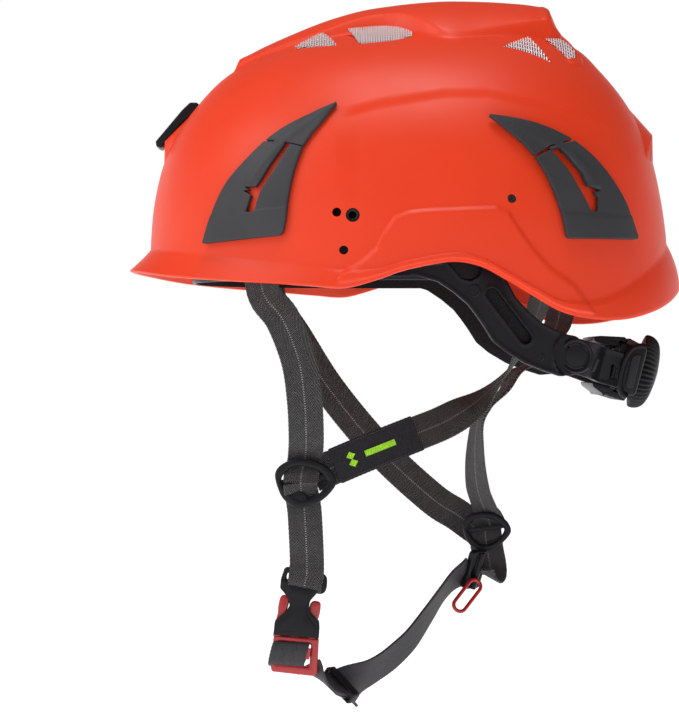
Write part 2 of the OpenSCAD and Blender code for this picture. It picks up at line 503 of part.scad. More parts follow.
// Stitched patch on the outer face of the left rear strap
LABEL = [[[51.9, 3.5, -84.5], [0.1, 0.36, -1]], [[56.9, -9, -89], [0, 0.38, -1]],
    [[61.6, -22, -94], [0, 0.38, -1]], [[65.8, -33, -98.4], [0, 0.4, -1]]];
module label_patch() color([0.16, 0.16, 0.17]) strap(LABEL, web_w + 1.4, 0.7, 2);

// Triangular two-slot sliders where the straps meet
module slider(at, turn, w, h) color([0.1, 0.1, 0.11]) translate(at) rotate(turn) rotate([90, 0, 90])
    translate([0, 0, -1.7]) linear_extrude(3.4) difference() {
        hull() for (p = [[-w / 2 + 3, h / 2 - 3], [w / 2 - 3, h / 2 - 3], [0.15 * w, -h / 2 + 3],
            [-0.15 * w, -h / 2 + 3]])
            translate(p) circle(r = 3, $fn = 32);
        polygon([[-w / 2 + 3.2, h / 2 - 3], [w / 2 - 3.2, h / 2 - 3], [w / 2 - 5.4, 1.6],
            [-w / 2 + 5.4, 1.6]]);
        polygon([[-w / 2 + 6.5, -1.6], [w / 2 - 6.5, -1.6], [0.15 * w, -h / 2 + 3],
            [-0.15 * w, -h / 2 + 3]]);
    }
slider_w = 31; // width of the sliders
slider_h = 25; // height of the sliders
SLIDER_LEFT = [68.5, -52.3, -108.8];
SLIDER_RIGHT = [-50, 46.5, -141.8];

// Side-release buckle, in a frame at its middle with Z up along the strap and X through its thickness
BUCKLE = [60, -54.9, -172.5];
buckle_turn = 10.8; // lean of the buckle, in degrees, lower end forward
module buckle_frame() translate(BUCKLE) rotate([-buckle_turn, 0, 0]) children();
buckle_t = 9; // thickness
cavity_t = 5.2; // thickness of the socket
BUCKLE_OUTLINE = [[-12.3, 16], [-12.3, 6.5], [-9.5, 4], [-6, 1.5], [-5, -1.5], [-6, -4.5], [-10, -6.8],
    [-12.3, -9], [-12.3, -17.5],
    [12.3, -17.5], [12.3, -9], [10, -6.8], [6, -4.5], [5, -1.5], [6, 1.5], [9.5, 4], [12.3, 6.5],
    [12.3, 16]];
module buckle_body() color([0.1, 0.1, 0.11]) buckle_frame() difference() {
    side_prism(-buckle_t / 2, buckle_t / 2, BUCKLE_OUTLINE);
    translate([-cavity_t / 2, -11.2, -20]) cube([cavity_t, 22.4, 25]);
    for (z = [8, 12.4]) translate([-10, -9.4, z]) cube([20, 18.8, 2.2]);
}
module buckle_insert() color([0.72, 0.1, 0.12]) buckle_frame() {
    translate([-1.8, -2.5, -18]) cube([3.6, 5, 22]);
    difference() {
        translate([-2.2, -11.6, -38]) cube([4.4, 23.2, 20]);
        translate([-5, -9.2, -24.6]) cube([10, 18.4, 3.4]);
        translate([-5, -9.2, -31]) cube([10, 18.4, 3.8]);
        translate([-5, -9.2, -36]) cube([10, 18.4, 2.4]);
    }
}
PRONG = [[6.2, -17.7], [10.8, -17.7], [10.9, -8], [10.9, 0.5], [9.6, 3.8], [6.6, 3.8], [6, 0], [6.8, -10]];
module buckle_prong(s) color([0.72, 0.1, 0.12]) buckle_frame()
    side_prism(-1.8, 1.8, [for (p = PRONG) [s * p[0], p[1]]]);

// Loop that keeps the strap's tail beside the chin strap
module strap_keeper() color([0.1, 0.1, 0.11]) translate([40.8, -32.5, -214.3]) rotate([0, 0,
    142]) difference() {
    translate([-3.5, -4.2, -11.4]) cube([7, 8.4, 22.8]);
    translate([-5, -2.7, -10.2]) cube([10, 5.4, 20.4]);
}

// Bar adjuster on the right end of the chin strap, with a pull ring
ADJUSTER = [-35, 39.5, -160.5];
module adjuster_frame() translate(ADJUSTER) rotate([0, 20, 48]) children();
module chin_adjuster() color([0.1, 0.1, 0.11]) adjuster_frame() difference() {
    translate([-1.7, -6.5, -11]) cube([3.4, 13, 22]);
    for (y = [-4.4, 1.2]) translate([-5, y, -9]) cube([10, 3.2, 18]);
}
RING = [-26.8, 35.2, -174.3];
RING_LONG = [-0.4, 0.59, 0.7]; // direction of the ring's length, along the strap
RING_FACE = [0.907, 0.3, 0.264]; // direction it faces, away from the strap
module obround(r, half) hull() for (y = [-half, half]) translate([0, y]) circle(r = r, $fn = 32);
module adjuster_ring() {
    l = unit(RING_LONG);
    f = unit(RING_FACE - (RING_FACE * l) * l);
    w = cross(l, f);
    color([0.72, 0.1, 0.12]) translate(RING) multmatrix([for (i = [0:2]) [w[i], l[i], f[i], 0]])
        translate([0, 0, -1.2]) linear_extrude(2.4) difference() {
            obround(4.6, 7);
            obround(2.7, 7);
        }
}

shell();
mesh_panel(MESH_FRONT, front_slack);  // vent_mesh_front_left
mirror([1, 0, 0]) mesh_panel(MESH_FRONT, front_slack);  // vent_mesh_front_right
mesh_panel(MESH_REAR, rear_slack);  // vent_mesh_rear_left
mirror([1, 0, 0]) mesh_panel(MESH_REAR, rear_slack);  // vent_mesh_rear_right
clip_tip(FRONT_TIP);  // clip_tip_front_left
mirror([1, 0, 0]) clip_tip(FRONT_TIP);  // clip_tip_front_right
clip_tip(REAR_TIP);  // clip_tip_rear_left
mirror([1, 0, 0]) clip_tip(REAR_TIP);  // clip_tip_rear_right
clip_flap(FRONT_FLAP, FRONT_SLOT);  // clip_flap_front_left
mirror([1, 0, 0]) clip_flap(FRONT_FLAP, FRONT_SLOT);  // clip_flap_front_right
clip_flap(REAR_FLAP, REAR_SLOT);  // clip_flap_rear_left
mirror([1, 0, 0]) clip_flap(REAR_FLAP, REAR_SLOT);  // clip_flap_rear_right
front_lamp_hook();
accessory_bush();  // accessory_bush_left
mirror([1, 0, 0]) accessory_bush();  // accessory_bush_right
headband();
brow_pad();
crown_strap(CROWN[0]);  // crown_strap_front
crown_strap(CROWN[1]);  // crown_strap_middle
crown_strap(CROWN[2]);  // crown_strap_rear
suspension_keys();
nape_arm();  // nape_arm_left
mirror([1, 0, 0]) nape_arm();  // nape_arm_right
arm_rivets();
size_band();  // size_band_left
mirror([1, 0, 0]) size_band();  // size_band_right
pivot_buttons();
nape_housing();
nape_cover();
nape_pad();
knob();
pinion();
knob_screw();
rack_pair(0);  // rack_left
rack_pair(180);  // rack_right
anchor(FRONT_ANCHOR);  // front_anchor_left
mirror([1, 0, 0]) anchor(FRONT_ANCHOR);  // front_anchor_right
anchor(REAR_ANCHOR_LEFT);  // rear_anchor_left
anchor(REAR_ANCHOR_RIGHT);  // rear_anchor_right
webbing(FRONT_LEFT);  // front_strap_left
webbing(FRONT_RIGHT);  // front_strap_right
webbing(REAR_LEFT);  // rear_strap_left
webbing(REAR_RIGHT);  // rear_strap_right
label_patch();
webbing(LOWER_LEFT);  // lower_strap_left
webbing(LOWER_RIGHT);  // lower_strap_right
slider(SLIDER_LEFT, [0, 0, 0], slider_w, slider_h);  // slider_left
slider(SLIDER_RIGHT, [0, 0, 10], slider_w, slider_h);  // slider_right
buckle_body();
buckle_insert();
buckle_prong(-1);  // buckle_prong_front
buckle_prong(1);  // buckle_prong_rear
webbing(CHIN);  // chin_strap
strap_keeper();
chin_adjuster();
adjuster_ring();
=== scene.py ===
"""Arborist helmet: detailed meshes, materials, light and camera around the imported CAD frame."""
import json
import math

import bmesh
import bpy
import numpy as np
from mathutils import Matrix, Vector

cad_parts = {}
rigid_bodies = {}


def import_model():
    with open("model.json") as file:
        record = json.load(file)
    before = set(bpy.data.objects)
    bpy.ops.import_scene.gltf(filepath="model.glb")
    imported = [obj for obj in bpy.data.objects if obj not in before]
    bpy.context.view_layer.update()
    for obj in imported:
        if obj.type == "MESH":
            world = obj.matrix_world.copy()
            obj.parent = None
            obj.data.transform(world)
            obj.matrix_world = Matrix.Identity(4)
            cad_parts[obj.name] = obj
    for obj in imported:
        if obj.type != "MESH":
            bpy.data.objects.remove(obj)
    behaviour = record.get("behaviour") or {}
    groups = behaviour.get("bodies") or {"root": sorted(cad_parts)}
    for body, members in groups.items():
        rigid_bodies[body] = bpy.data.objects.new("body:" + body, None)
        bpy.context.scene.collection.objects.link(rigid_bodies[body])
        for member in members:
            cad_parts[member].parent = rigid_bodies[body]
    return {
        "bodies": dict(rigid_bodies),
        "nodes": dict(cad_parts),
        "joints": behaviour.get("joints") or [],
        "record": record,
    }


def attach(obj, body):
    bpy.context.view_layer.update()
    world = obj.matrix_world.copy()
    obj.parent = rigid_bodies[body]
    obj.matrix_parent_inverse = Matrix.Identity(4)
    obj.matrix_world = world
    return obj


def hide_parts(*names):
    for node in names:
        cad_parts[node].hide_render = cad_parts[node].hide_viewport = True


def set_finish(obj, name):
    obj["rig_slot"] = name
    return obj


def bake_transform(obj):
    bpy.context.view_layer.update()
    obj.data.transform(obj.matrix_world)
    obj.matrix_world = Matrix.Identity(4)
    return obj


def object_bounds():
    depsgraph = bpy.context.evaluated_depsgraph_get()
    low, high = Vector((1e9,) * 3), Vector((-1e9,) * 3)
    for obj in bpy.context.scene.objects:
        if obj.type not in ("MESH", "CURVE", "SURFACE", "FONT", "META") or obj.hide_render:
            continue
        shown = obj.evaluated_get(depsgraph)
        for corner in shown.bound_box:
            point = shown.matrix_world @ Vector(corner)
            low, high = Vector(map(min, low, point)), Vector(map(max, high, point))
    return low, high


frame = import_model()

CAD_BOX = [list(corner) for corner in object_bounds()]
MM = 0.001


# ---------------------------------------------------------------- materials
class Shader:
    """A principled material with short helpers for its procedural nodes."""

    def __init__(self, name, color, roughness, **sockets):
        self.mat = bpy.data.materials.new(name)
        self.mat.use_nodes = True
        self.tree = self.mat.node_tree
        self.bsdf = self.tree.nodes["Principled BSDF"]
        self.bsdf.inputs["Base Color"].default_value = (*color, 1)
        self.bsdf.inputs["Roughness"].default_value = roughness
        for key, value in sockets.items():
            self.bsdf.inputs[key.replace("_", " ")].default_value = value
        self.color = color

    def node(self, kind, **values):
        n = self.tree.nodes.new(kind)
        for key, value in values.items():
            setattr(n, key, value)
        return n

    def put(self, socket, value):
        if isinstance(value, bpy.types.NodeSocket):
            self.tree.links.new(value, socket)
        else:
            socket.default_value = value

    def math(self, operation, a, b=0.0):
        n = self.node("ShaderNodeMath", operation=operation)
        self.put(n.inputs[0], a)
        self.put(n.inputs[1], b)
        return n.outputs[0]

    def step(self, value, low, high):
        """0 below low, 1 above high, smooth between."""
        n = self.node("ShaderNodeMapRange", interpolation_type="SMOOTHSTEP")
        self.put(n.inputs["Value"], value)
        n.inputs["From Min"].default_value = low
        n.inputs["From Max"].default_value = high
        return n.outputs["Result"]

    def noise(self, scale, detail=2.0, stretch=(1, 1, 1)):
        coord = self.node("ShaderNodeTexCoord")
        mapping = self.node("ShaderNodeMapping")
        mapping.inputs["Scale"].default_value = stretch
        self.tree.links.new(coord.outputs["Object"], mapping.inputs["Vector"])
        n = self.node("ShaderNodeTexNoise")
        n.inputs["Scale"].default_value = scale
        n.inputs["Detail"].default_value = detail
        self.tree.links.new(mapping.outputs["Vector"], n.inputs["Vector"])
        return n.outputs["Fac"]

    def uv(self):
        coord = self.node("ShaderNodeTexCoord")
        split = self.node("ShaderNodeSeparateXYZ")
        self.tree.links.new(coord.outputs["UV"], split.inputs[0])
        return split.outputs[0], split.outputs[1]

    def mix_color(self, factor, a, b):
        n = self.node("ShaderNodeMix", data_type="RGBA")
        self.put(n.inputs["Factor"], factor)
        for socket, value in ((n.inputs[6], a), (n.inputs[7], b)):
            self.put(socket, value if isinstance(value, bpy.types.NodeSocket) else (*value, 1))
        return n.outputs[2]

    def tint(self, factor, other):
        self.put(self.bsdf.inputs["Base Color"], self.mix_color(factor, self.color, other))

    def rough(self, factor, low, high):
        n = self.node("ShaderNodeMapRange")
        self.put(n.inputs["Value"], factor)
        n.inputs["To Min"].default_value = low
        n.inputs["To Max"].default_value = high
        self.put(self.bsdf.inputs["Roughness"], n.outputs["Result"])

    def bump(self, height, distance, strength=1.0):
        n = self.node("ShaderNodeBump")
        n.inputs["Strength"].default_value = strength
        n.inputs["Distance"].default_value = distance
        self.put(n.inputs["Height"], height)
        self.put(self.bsdf.inputs["Normal"], n.outputs["Normal"])


def moulded(name, color, roughness, grain=900, depth=0.00004, dusty=1.35, **sockets):
    """Moulded plastic: fine spark-eroded grain, slightly uneven gloss and tone."""
    s = Shader(name, color, roughness, **sockets)
    broad = s.noise(22, 3)
    s.tint(s.step(broad, 0.35, 0.75), tuple(min(1, c * dusty) for c in color))
    s.rough(s.noise(60, 4), roughness - 0.05, roughness + 0.07)
    s.bump(s.noise(grain, 2), depth)
    return s.mat


WEB_W = 18.0  # webbing width in millimetres


def herringbone(name, dark, light):
    """Woven webbing: two chevrons across the width, dotted seams between them and bound edges."""
    s = Shader(name, dark, 0.78, Sheen_Weight=0.12, Sheen_Roughness=0.5, Specular_IOR_Level=0.25)
    u, v = s.uv()
    across = s.math("MULTIPLY", u, 2.0)
    zig = s.math("ABSOLUTE", s.math("SUBTRACT", s.math("FRACT", across), 0.5))
    along = s.math("MULTIPLY", v, WEB_W)
    phase = s.math("ADD", s.math("MULTIPLY", along, 0.62), s.math("MULTIPLY", zig, WEB_W * 0.62))
    rib = s.math("ADD", s.math("MULTIPLY", s.math("SINE", s.math("MULTIPLY", phase, 2 * math.pi)), 0.5), 0.5)
    pick = s.math("SINE", s.math("MULTIPLY", s.math("SUBTRACT", along, s.math("MULTIPLY", zig, WEB_W)),
                                 2 * math.pi * 1.05))
    dots = s.step(pick, -0.2, 0.7)
    thread = s.math("MULTIPLY", s.step(rib, 0.45, 0.95), dots)
    seam = s.math("SUBTRACT", 1.0, s.step(s.math("ABSOLUTE", s.math("SUBTRACT", u, 0.5)), 0.012, 0.03))
    seam_dots = s.math("MULTIPLY", seam, s.step(s.math("SINE",
                                                       s.math("MULTIPLY", along, 2 * math.pi * 0.8)), 0.1,
                                                0.7))
    bright = s.math("MAXIMUM", thread, seam_dots)
    worn = s.math("MULTIPLY", bright, s.math("ADD", s.math("MULTIPLY", s.noise(300, 2), 0.7), 0.35))
    s.tint(worn, light)
    s.bump(s.math("ADD", rib, bright), 0.00025, 0.9)
    return s.mat


def perforated(name, color):
    """Smooth coated strap with two zigzag rows of needle holes."""
    s = Shader(name, color, 0.6, Sheen_Weight=0.05, Specular_IOR_Level=0.35)
    u, v = s.uv()
    along = s.math("MULTIPLY", v, WEB_W)
    tri = s.math("PINGPONG", along, 2.2)
    holes = None
    for center in (0.36, 0.64):
        line = s.math("ADD", center - 0.06, s.math("MULTIPLY", tri, 0.055))
        near = s.math("SUBTRACT", 1.0, s.step(s.math("ABSOLUTE", s.math("SUBTRACT", u, line)), 0.012, 0.03))
        holes = near if holes is None else s.math("MAXIMUM", holes, near)
    dots = s.step(s.math("SINE", s.math("MULTIPLY", along, 2 * math.pi * 1.1)), 0.0, 0.6)
    holes = s.math("MULTIPLY", holes, dots)
    grain = s.noise(1500, 2)
    s.tint(s.math("SUBTRACT", s.math("MULTIPLY", grain, 0.8), holes), tuple(c * 2.3 for c in color))
    s.bump(s.math("SUBTRACT", s.math("MULTIPLY", grain, 0.25), holes), 0.0003, 0.8)
    return s.mat


def fabric(name, color, scale=1100):
    """Soft knit cover of the pads."""
    s = Shader(name, color, 0.9, Sheen_Weight=0.08, Sheen_Roughness=0.5, Specular_IOR_Level=0.25)
    knit = s.noise(scale, 1, (1, 1, 2))
    s.tint(s.step(knit, 0.4, 0.7), tuple(c * 2 for c in color))
    s.bump(knit, 0.0004, 0.8)
    return s.mat


def wire_metal(name):
    s = Shader(name, (0.86, 0.87, 0.89), 0.34, Metallic=0.35)
    s.rough(s.noise(700, 2), 0.25, 0.42)
    s.bump(s.noise(1600, 1), 0.00005)
    return s.mat


MATS = {"shell": moulded("shell_plastic", (0.83, 0.049, 0.011), 0.42, grain=700, depth=0.000012, dusty=1.03,
                         Specular_IOR_Level=0.34), "clip": moulded("clip_plastic", (0.036, 0.036, 0.041),
                                                                   0.50, Specular_IOR_Level=0.36),
        "black": moulded("black_plastic", (0.008, 0.008, 0.010), 0.34, Specular_IOR_Level=0.2),
        "grip": moulded("dial_rubber", (0.016, 0.016, 0.018), 0.55, Specular_IOR_Level=0.25),
        "red": moulded("red_plastic", (0.42, 0.010, 0.014), 0.26, dusty=1.15, Coat_Weight=0.3,
                       Coat_Roughness=0.1), "web": herringbone("webbing", (0.017, 0.0165, 0.017),
                                                               (0.50, 0.49, 0.48)),
        "chin": perforated("chin_webbing", (0.024, 0.0235, 0.026)),
        "label": fabric("label_weave", (0.016, 0.0155, 0.019), 1600),
        "green": fabric("label_green", (0.30, 0.62, 0.03), 1800),
        "thread": fabric("stitching", (0.055, 0.052, 0.055), 2500),
        "pad": fabric("pad_knit", (0.009, 0.009, 0.009)), "wire": wire_metal("vent_wire"),
        "gear": moulded("gear_acetal", (0.62, 0.61, 0.56), 0.35, dusty=1.05),
        # the hole finish is near-black and matte; it paints the shade of a gap and is used on the block
        # behind the pivot disc
        "steel": wire_metal("screw_steel"), "hole": moulded("hole_dark", (0.006, 0.006, 0.007), 0.6),
        "brown": moulded("block_plastic", (0.045, 0.036, 0.030), 0.35), }
SLOT = {"shell": "shell", "clip": "clip_grey", "black": "black_plastic", "grip": "rubber_grip",
        "red": "red_plastic", "web": "webbing", "chin": "webbing", "label": "label", "green": "label",
        "thread": "label", "pad": "pad_foam", "wire": "silver_mesh", "gear": "gear_plastic",
        "steel": "screw_steel", "hole": "black_plastic", "brown": "black_plastic"}


# ---------------------------------------------------------------- mesh helpers
BOX_FACES = [[3, 2, 1, 0], [4, 5, 6, 7], [0, 1, 5, 4], [1, 2, 6, 5], [2, 3, 7, 6], [3, 0, 4, 7]]


def unit(vectors):
    """Each row scaled to length 1."""
    return vectors / np.linalg.norm(vectors, axis=-1, keepdims=True)


def lengths(points):
    """Distance along a line of points to each of them."""
    return np.concatenate([[0], np.cumsum(np.linalg.norm(np.diff(points, axis=0), axis=1))])


def piece(name, points, faces, look, body="root", replaces=(), uv=None, sharp=40):
    """A mesh from points in millimetres, riding on a body."""
    mesh = bpy.data.meshes.new(name)
    mesh.from_pydata([tuple(p) for p in np.asarray(points, float) * MM], [],
                     [tuple(map(int, f)) for f in faces])
    mesh.validate()
    mesh.shade_smooth()
    mesh.set_sharp_from_angle(angle=math.radians(sharp))
    if uv is not None:
        layer = mesh.uv_layers.new(name="UVMap")
        corner = np.empty(len(mesh.loops), int)
        mesh.loops.foreach_get("vertex_index", corner)
        layer.data.foreach_set("uv", np.asarray(uv, np.float32)[corner].ravel())
    obj = bpy.data.objects.new(name, mesh)
    bpy.context.collection.objects.link(obj)
    return dress(obj, look, body, replaces)


def dress(obj, look, body="root", replaces=()):
    obj.data.materials.clear()
    obj.data.materials.append(MATS[look])
    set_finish(obj, SLOT[look])
    if body:
        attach(obj, body)
    if replaces:
        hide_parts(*replaces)
    return obj


def bake(obj, sharp=40):
    """Applies the object's modifiers to its mesh."""
    graph = bpy.context.evaluated_depsgraph_get()
    mesh = bpy.data.meshes.new_from_object(obj.evaluated_get(graph))
    obj.modifiers.clear()
    obj.data = mesh
    mesh.shade_smooth()
    mesh.set_sharp_from_angle(angle=math.radians(sharp))
    return obj


def bevelled(obj, width, segments=2, angle=35, sharp=40):
    m = obj.modifiers.new("bevel", "BEVEL")
    m.width = width * MM
    m.segments = segments
    m.limit_method = "ANGLE"
    m.angle_limit = math.radians(angle)
    return bake(obj, sharp)


def cut(obj, cutter):
    """Takes the cutter out of the object, then removes it."""
    m = obj.modifiers.new("boolean", "BOOLEAN")
    m.operation = "DIFFERENCE"
    m.object = cutter
    m.solver = "EXACT"
    bake(obj)
    bpy.data.objects.remove(cutter)


def raw(name, points, faces):
    """A bare mesh object, used as a cutter."""
    mesh = bpy.data.meshes.new(name)
    mesh.from_pydata([tuple(p) for p in np.asarray(points, float) * MM], [],
                     [tuple(map(int, f)) for f in faces])
    bm = bmesh.new()
    bm.from_mesh(mesh)
    bmesh.ops.recalc_face_normals(bm, faces=bm.faces[:])
    bm.to_mesh(mesh)
    bm.free()
    obj = bpy.data.objects.new(name, mesh)
    bpy.context.collection.objects.link(obj)
    return obj


def prism(outline, low, high, place):
    """Points and faces of an outline extruded from low to high; place maps (a, b, h) to a point."""
    n = len(outline)
    points = [place(a, b, h) for h in (low, high) for a, b in outline]
    faces = [list(range(n))[::-1], [n + i for i in range(n)]]
    faces += [[i, (i + 1) % n, n + (i + 1) % n, n + i] for i in range(n)]
    return points, faces


def join_parts(parts):
    """Joins (points, faces) pairs into one."""
    points, faces = [], []
    for p, f in parts:
        base = len(points)
        points += [tuple(q) for q in p]
        faces += [[base + i for i in face] for face in f]
    return points, faces


def curve(knots, u):
    """Catmull-Rom through knots at u (an array), with straight ends."""
    p = np.asarray(knots, float)
    p = np.vstack([2 * p[0] - p[1], p, 2 * p[-1] - p[-2]])
    u = np.atleast_1d(np.asarray(u, float))
    i = np.clip(np.floor(u).astype(int), 0, len(p) - 4)
    f = (u - i)[:, None]
    a, b, c, d = p[i], p[i + 1], p[i + 2], p[i + 3]
    return 0.5 * (2 * b + f * (c - a) + f * f * (2 * a - 5 * b + 4 * c - d)
                  + f ** 3 * (3 * b - a - 3 * c + d))


def smooth_loop(points, per=6):
    """Closed Catmull-Rom loop; a point given twice stays a sharp corner."""
    p = np.asarray(points, float)
    n = len(p)
    out = []
    for i in range(n):
        a, b, c, d = p[i - 1], p[i], p[(i + 1) % n], p[(i + 2) % n]
        if np.allclose(b, c):
            continue
        for k in range(per):
            f = k / per
            out.append(0.5 * (2 * b + f * (c - a) + f * f * (2 * a - 5 * b + 4 * c - d)
                              + f ** 3 * (3 * b - a - 3 * c + d)))
    return [tuple(q) for q in out]


def rounded(points, radius, steps=5):
    """Polygon with its corners rounded; radius is one number or one per corner."""
    p = [np.asarray(q, float) for q in points]
    radii = radius if hasattr(radius, "__len__") else [radius] * len(p)
    out = []
    for i, corner in enumerate(p):
        before, after = p[i - 1] - corner, p[(i + 1) % len(p)] - corner
        a, b = before / np.linalg.norm(before), after / np.linalg.norm(after)
        turn = math.acos(np.clip(a @ b, -1, 1))
        r = radii[i]
        if r <= 0 or turn > math.pi - 0.02:
            out.append(tuple(corner))
            continue
        reach = min(r / math.tan(turn / 2), 0.49 * np.linalg.norm(before), 0.49 * np.linalg.norm(after))
        start, end = corner + a * reach, corner + b * reach
        for k in range(steps + 1):
            t = k / steps
            out.append(tuple((1 - t) ** 2 * start + 2 * t * (1 - t) * corner + t * t * end))
    return out


def circle(cx, cy, r, n=32, start=0.0):
    return [(cx + r * math.cos(start + 2 * math.pi * k / n), cy + r * math.sin(start + 2 * math.pi * k / n))
            for k in range(n)]


def area(loop):
    p = np.asarray(loop, float)
    q = np.roll(p, -1, axis=0)
    return 0.5 * float(np.sum(p[:, 0] * q[:, 1] - q[:, 0] * p[:, 1]))


def inset_loop(loop, distance):
    """Moves a loop to its left by distance."""
    p = np.asarray(loop, float)
    before, after = p - np.roll(p, 1, axis=0), np.roll(p, -1, axis=0) - p
    def normals(d):
        d = d / np.maximum(np.linalg.norm(d, axis=1, keepdims=True), 1e-9)
        return np.column_stack([-d[:, 1], d[:, 0]])
    a, b = normals(before), normals(after)
    m = a + b
    m /= np.maximum(np.linalg.norm(m, axis=1, keepdims=True), 1e-9)
    scale = 1 / np.maximum(np.sum(m * a, axis=1, keepdims=True), 0.45)
    return p + m * scale * distance


def resample(loop, step):
    """Adds points so that no side is longer than step."""
    out = []
    for a, b in zip(loop, list(loop[1:]) + [loop[0]]):
        a, b = np.asarray(a, float), np.asarray(b, float)
        n = max(1, int(math.ceil(np.linalg.norm(b - a) / step)))
        out += [tuple(a + (b - a) * k / n) for k in range(n)]
    return out


def plate(name, outline, look, outer, inner, holes=(), edge=0.5, step=2.5, **options):
    """A plate with rounded outer edges: an outline with holes, laid on two surfaces.

    outer(a, b, h) gives the outer face, h from 0 down to -edge at its rim; inner(a, b) gives the inner face.
    """
    bm = bmesh.new()
    inner_loops = []
    for k, loop in enumerate([outline, *holes]):
        loop = [(float(p[0]), float(p[1])) for p in loop]
        if (area(loop) > 0) != (k == 0):
            loop = loop[::-1]
        loop = resample(loop, step)
        rings = []
        for share, drop in ((0, 1), (0.3, 0.3), (1, 0)):
            ring = inset_loop(loop, edge * share) if share else np.asarray(loop)
            rings.append([bm.verts.new((p[0], p[1], -edge * drop)) for p in ring])
        for low, high in zip(rings, rings[1:]):
            for i in range(len(low)):
                j = (i + 1) % len(low)
                bm.faces.new((low[i], low[j], high[j], high[i]))
        inner_loops.append(rings[-1])
    edges = []
    for ring in inner_loops:
        for a, b in zip(ring, ring[1:] + ring[:1]):
            edges.append(bm.edges.get((a, b)) or bm.edges.new((a, b)))
    bmesh.ops.triangle_fill(bm, use_beauty=True, edges=edges)
    for axis in (0, 1):
        values = [v.co[axis] for v in bm.verts]
        for c in np.arange(min(values) + step / 2, max(values), step):
            at = Vector((c, 0, 0)) if axis == 0 else Vector((0, c, 0))
            bmesh.ops.bisect_plane(bm, geom=bm.verts[:] + bm.edges[:] + bm.faces[:], plane_co=at,
                                   plane_no=Vector((1, 0, 0)) if axis == 0 else Vector((0, 1, 0)))
    bm.verts.index_update()
    flat = np.array([v.co[:] for v in bm.verts])
    n = len(flat)
    top = np.asarray(outer(flat[:, 0], flat[:, 1], flat[:, 2]), float)
    low = np.asarray(inner(flat[:, 0], flat[:, 1]), float)
    faces = []
    for f in bm.faces:
        ring = [v.index for v in f.verts]
        if area([flat[i][:2] for i in ring]) < 0:
            ring.reverse()
        faces.append(ring)
        faces.append([n + i for i in ring[::-1]])
    for e in bm.edges:
        if len(e.link_faces) == 1:
            ring = [v.index for v in e.link_faces[0].verts]
            if area([flat[i][:2] for i in ring]) < 0:
                ring.reverse()
            a, b = e.verts[0].index, e.verts[1].index
            if ring[(ring.index(a) + 1) % len(ring)] != b:
                a, b = b, a
            faces.append([b, a, n + a, n + b])
    bm.free()
    return piece(name, np.vstack([top, low]), faces, look, **options)


def sweep(name, centers, sides, normals, sections, look, closed=False, uv_scale=None, **options):
    """Joins one closed section of (across, up) points at each station."""
    m, k = len(centers), len(sections[0])
    points, uv = [], []
    length = lengths(centers)
    for i in range(m):
        s = np.asarray(sections[i], float)
        points.append(centers[i] + s[:, :1] * sides[i] + s[:, 1:2] * normals[i])
        if uv_scale:
            uv.append(np.column_stack([s[:, 0] / uv_scale + 0.5, np.full(k, length[i] / uv_scale)]))
    faces = []
    last = m if closed else m - 1
    for i in range(last):
        a, b = i * k, ((i + 1) % m) * k
        faces += [[a + j, a + (j + 1) % k, b + (j + 1) % k, b + j] for j in range(k)]
    if not closed:
        faces.append(list(range(k))[::-1])
        faces.append([(m - 1) * k + j for j in range(k)])
    return piece(name, np.vstack(points), faces, look, uv=np.vstack(uv) if uv_scale else None, **options)


def band_section(width, thick, n=8):
    """Flat woven band with soft round edges, counter-clockwise."""
    w, t = width / 2, thick / 2
    across = [w - t * 0.6 - (2 * (w - t * 0.6)) * i / n for i in range(n + 1)]
    return [(w, 0)] + [(x, t) for x in across] + [(-w, 0)] + [(x, -t) for x in across[::-1]]


def stations(route, spacing=1.2):
    """Even stations along a route of (centre, width direction): centres, sides, normals."""
    P, W = [r[0] for r in route], [r[1] for r in route]
    last = len(route) - 1
    dense = curve(P, np.linspace(0, last, 60 * last))
    length = lengths(dense)
    n = max(2, int(round(length[-1] / spacing)))
    u = np.interp(np.linspace(0, length[-1], n + 1), length, np.linspace(0, last, 60 * last))
    c = curve(P, u)
    t = curve(P, np.minimum(u + 0.02, last)) - curve(P, np.maximum(u - 0.02, 0))
    t /= np.linalg.norm(t, axis=1, keepdims=True)
    w = curve(W, u)
    w -= np.sum(w * t, axis=1, keepdims=True) * t
    w /= np.linalg.norm(w, axis=1, keepdims=True)
    return c, w, np.cross(t, w)


def webbing(name, route, look="web", width=WEB_W, thick=1.4, spacing=1.2, shift=0.0, **options):
    c, w, n = stations(route, spacing)
    sections = []
    for i in range(len(c)):
        scallop = 0.10 if i % 2 else -0.04
        sections.append(np.array(band_section(width + 2 * scallop, thick)))
    return sweep(name, c + n * shift, w, n, sections, look, uv_scale=width, **options)


def tube(name, path, radius, look, closed=False, n=12, up=(1.0, 0.0, 0.0), **options):
    """Round rod along a path of points; up is any direction that the path never follows."""
    p = np.asarray(path, float)
    if closed:
        t = np.roll(p, -1, axis=0) - np.roll(p, 1, axis=0)
    else:
        t = np.gradient(p, axis=0)
    t /= np.linalg.norm(t, axis=1, keepdims=True)
    side = np.cross(t, np.asarray(up, float))
    side /= np.maximum(np.linalg.norm(side, axis=1, keepdims=True), 1e-9)
    normal = np.cross(t, side)
    ring = circle(0, 0, radius, n)
    return sweep(name, p, side, normal, [ring] * len(p), look, closed=closed, **options)


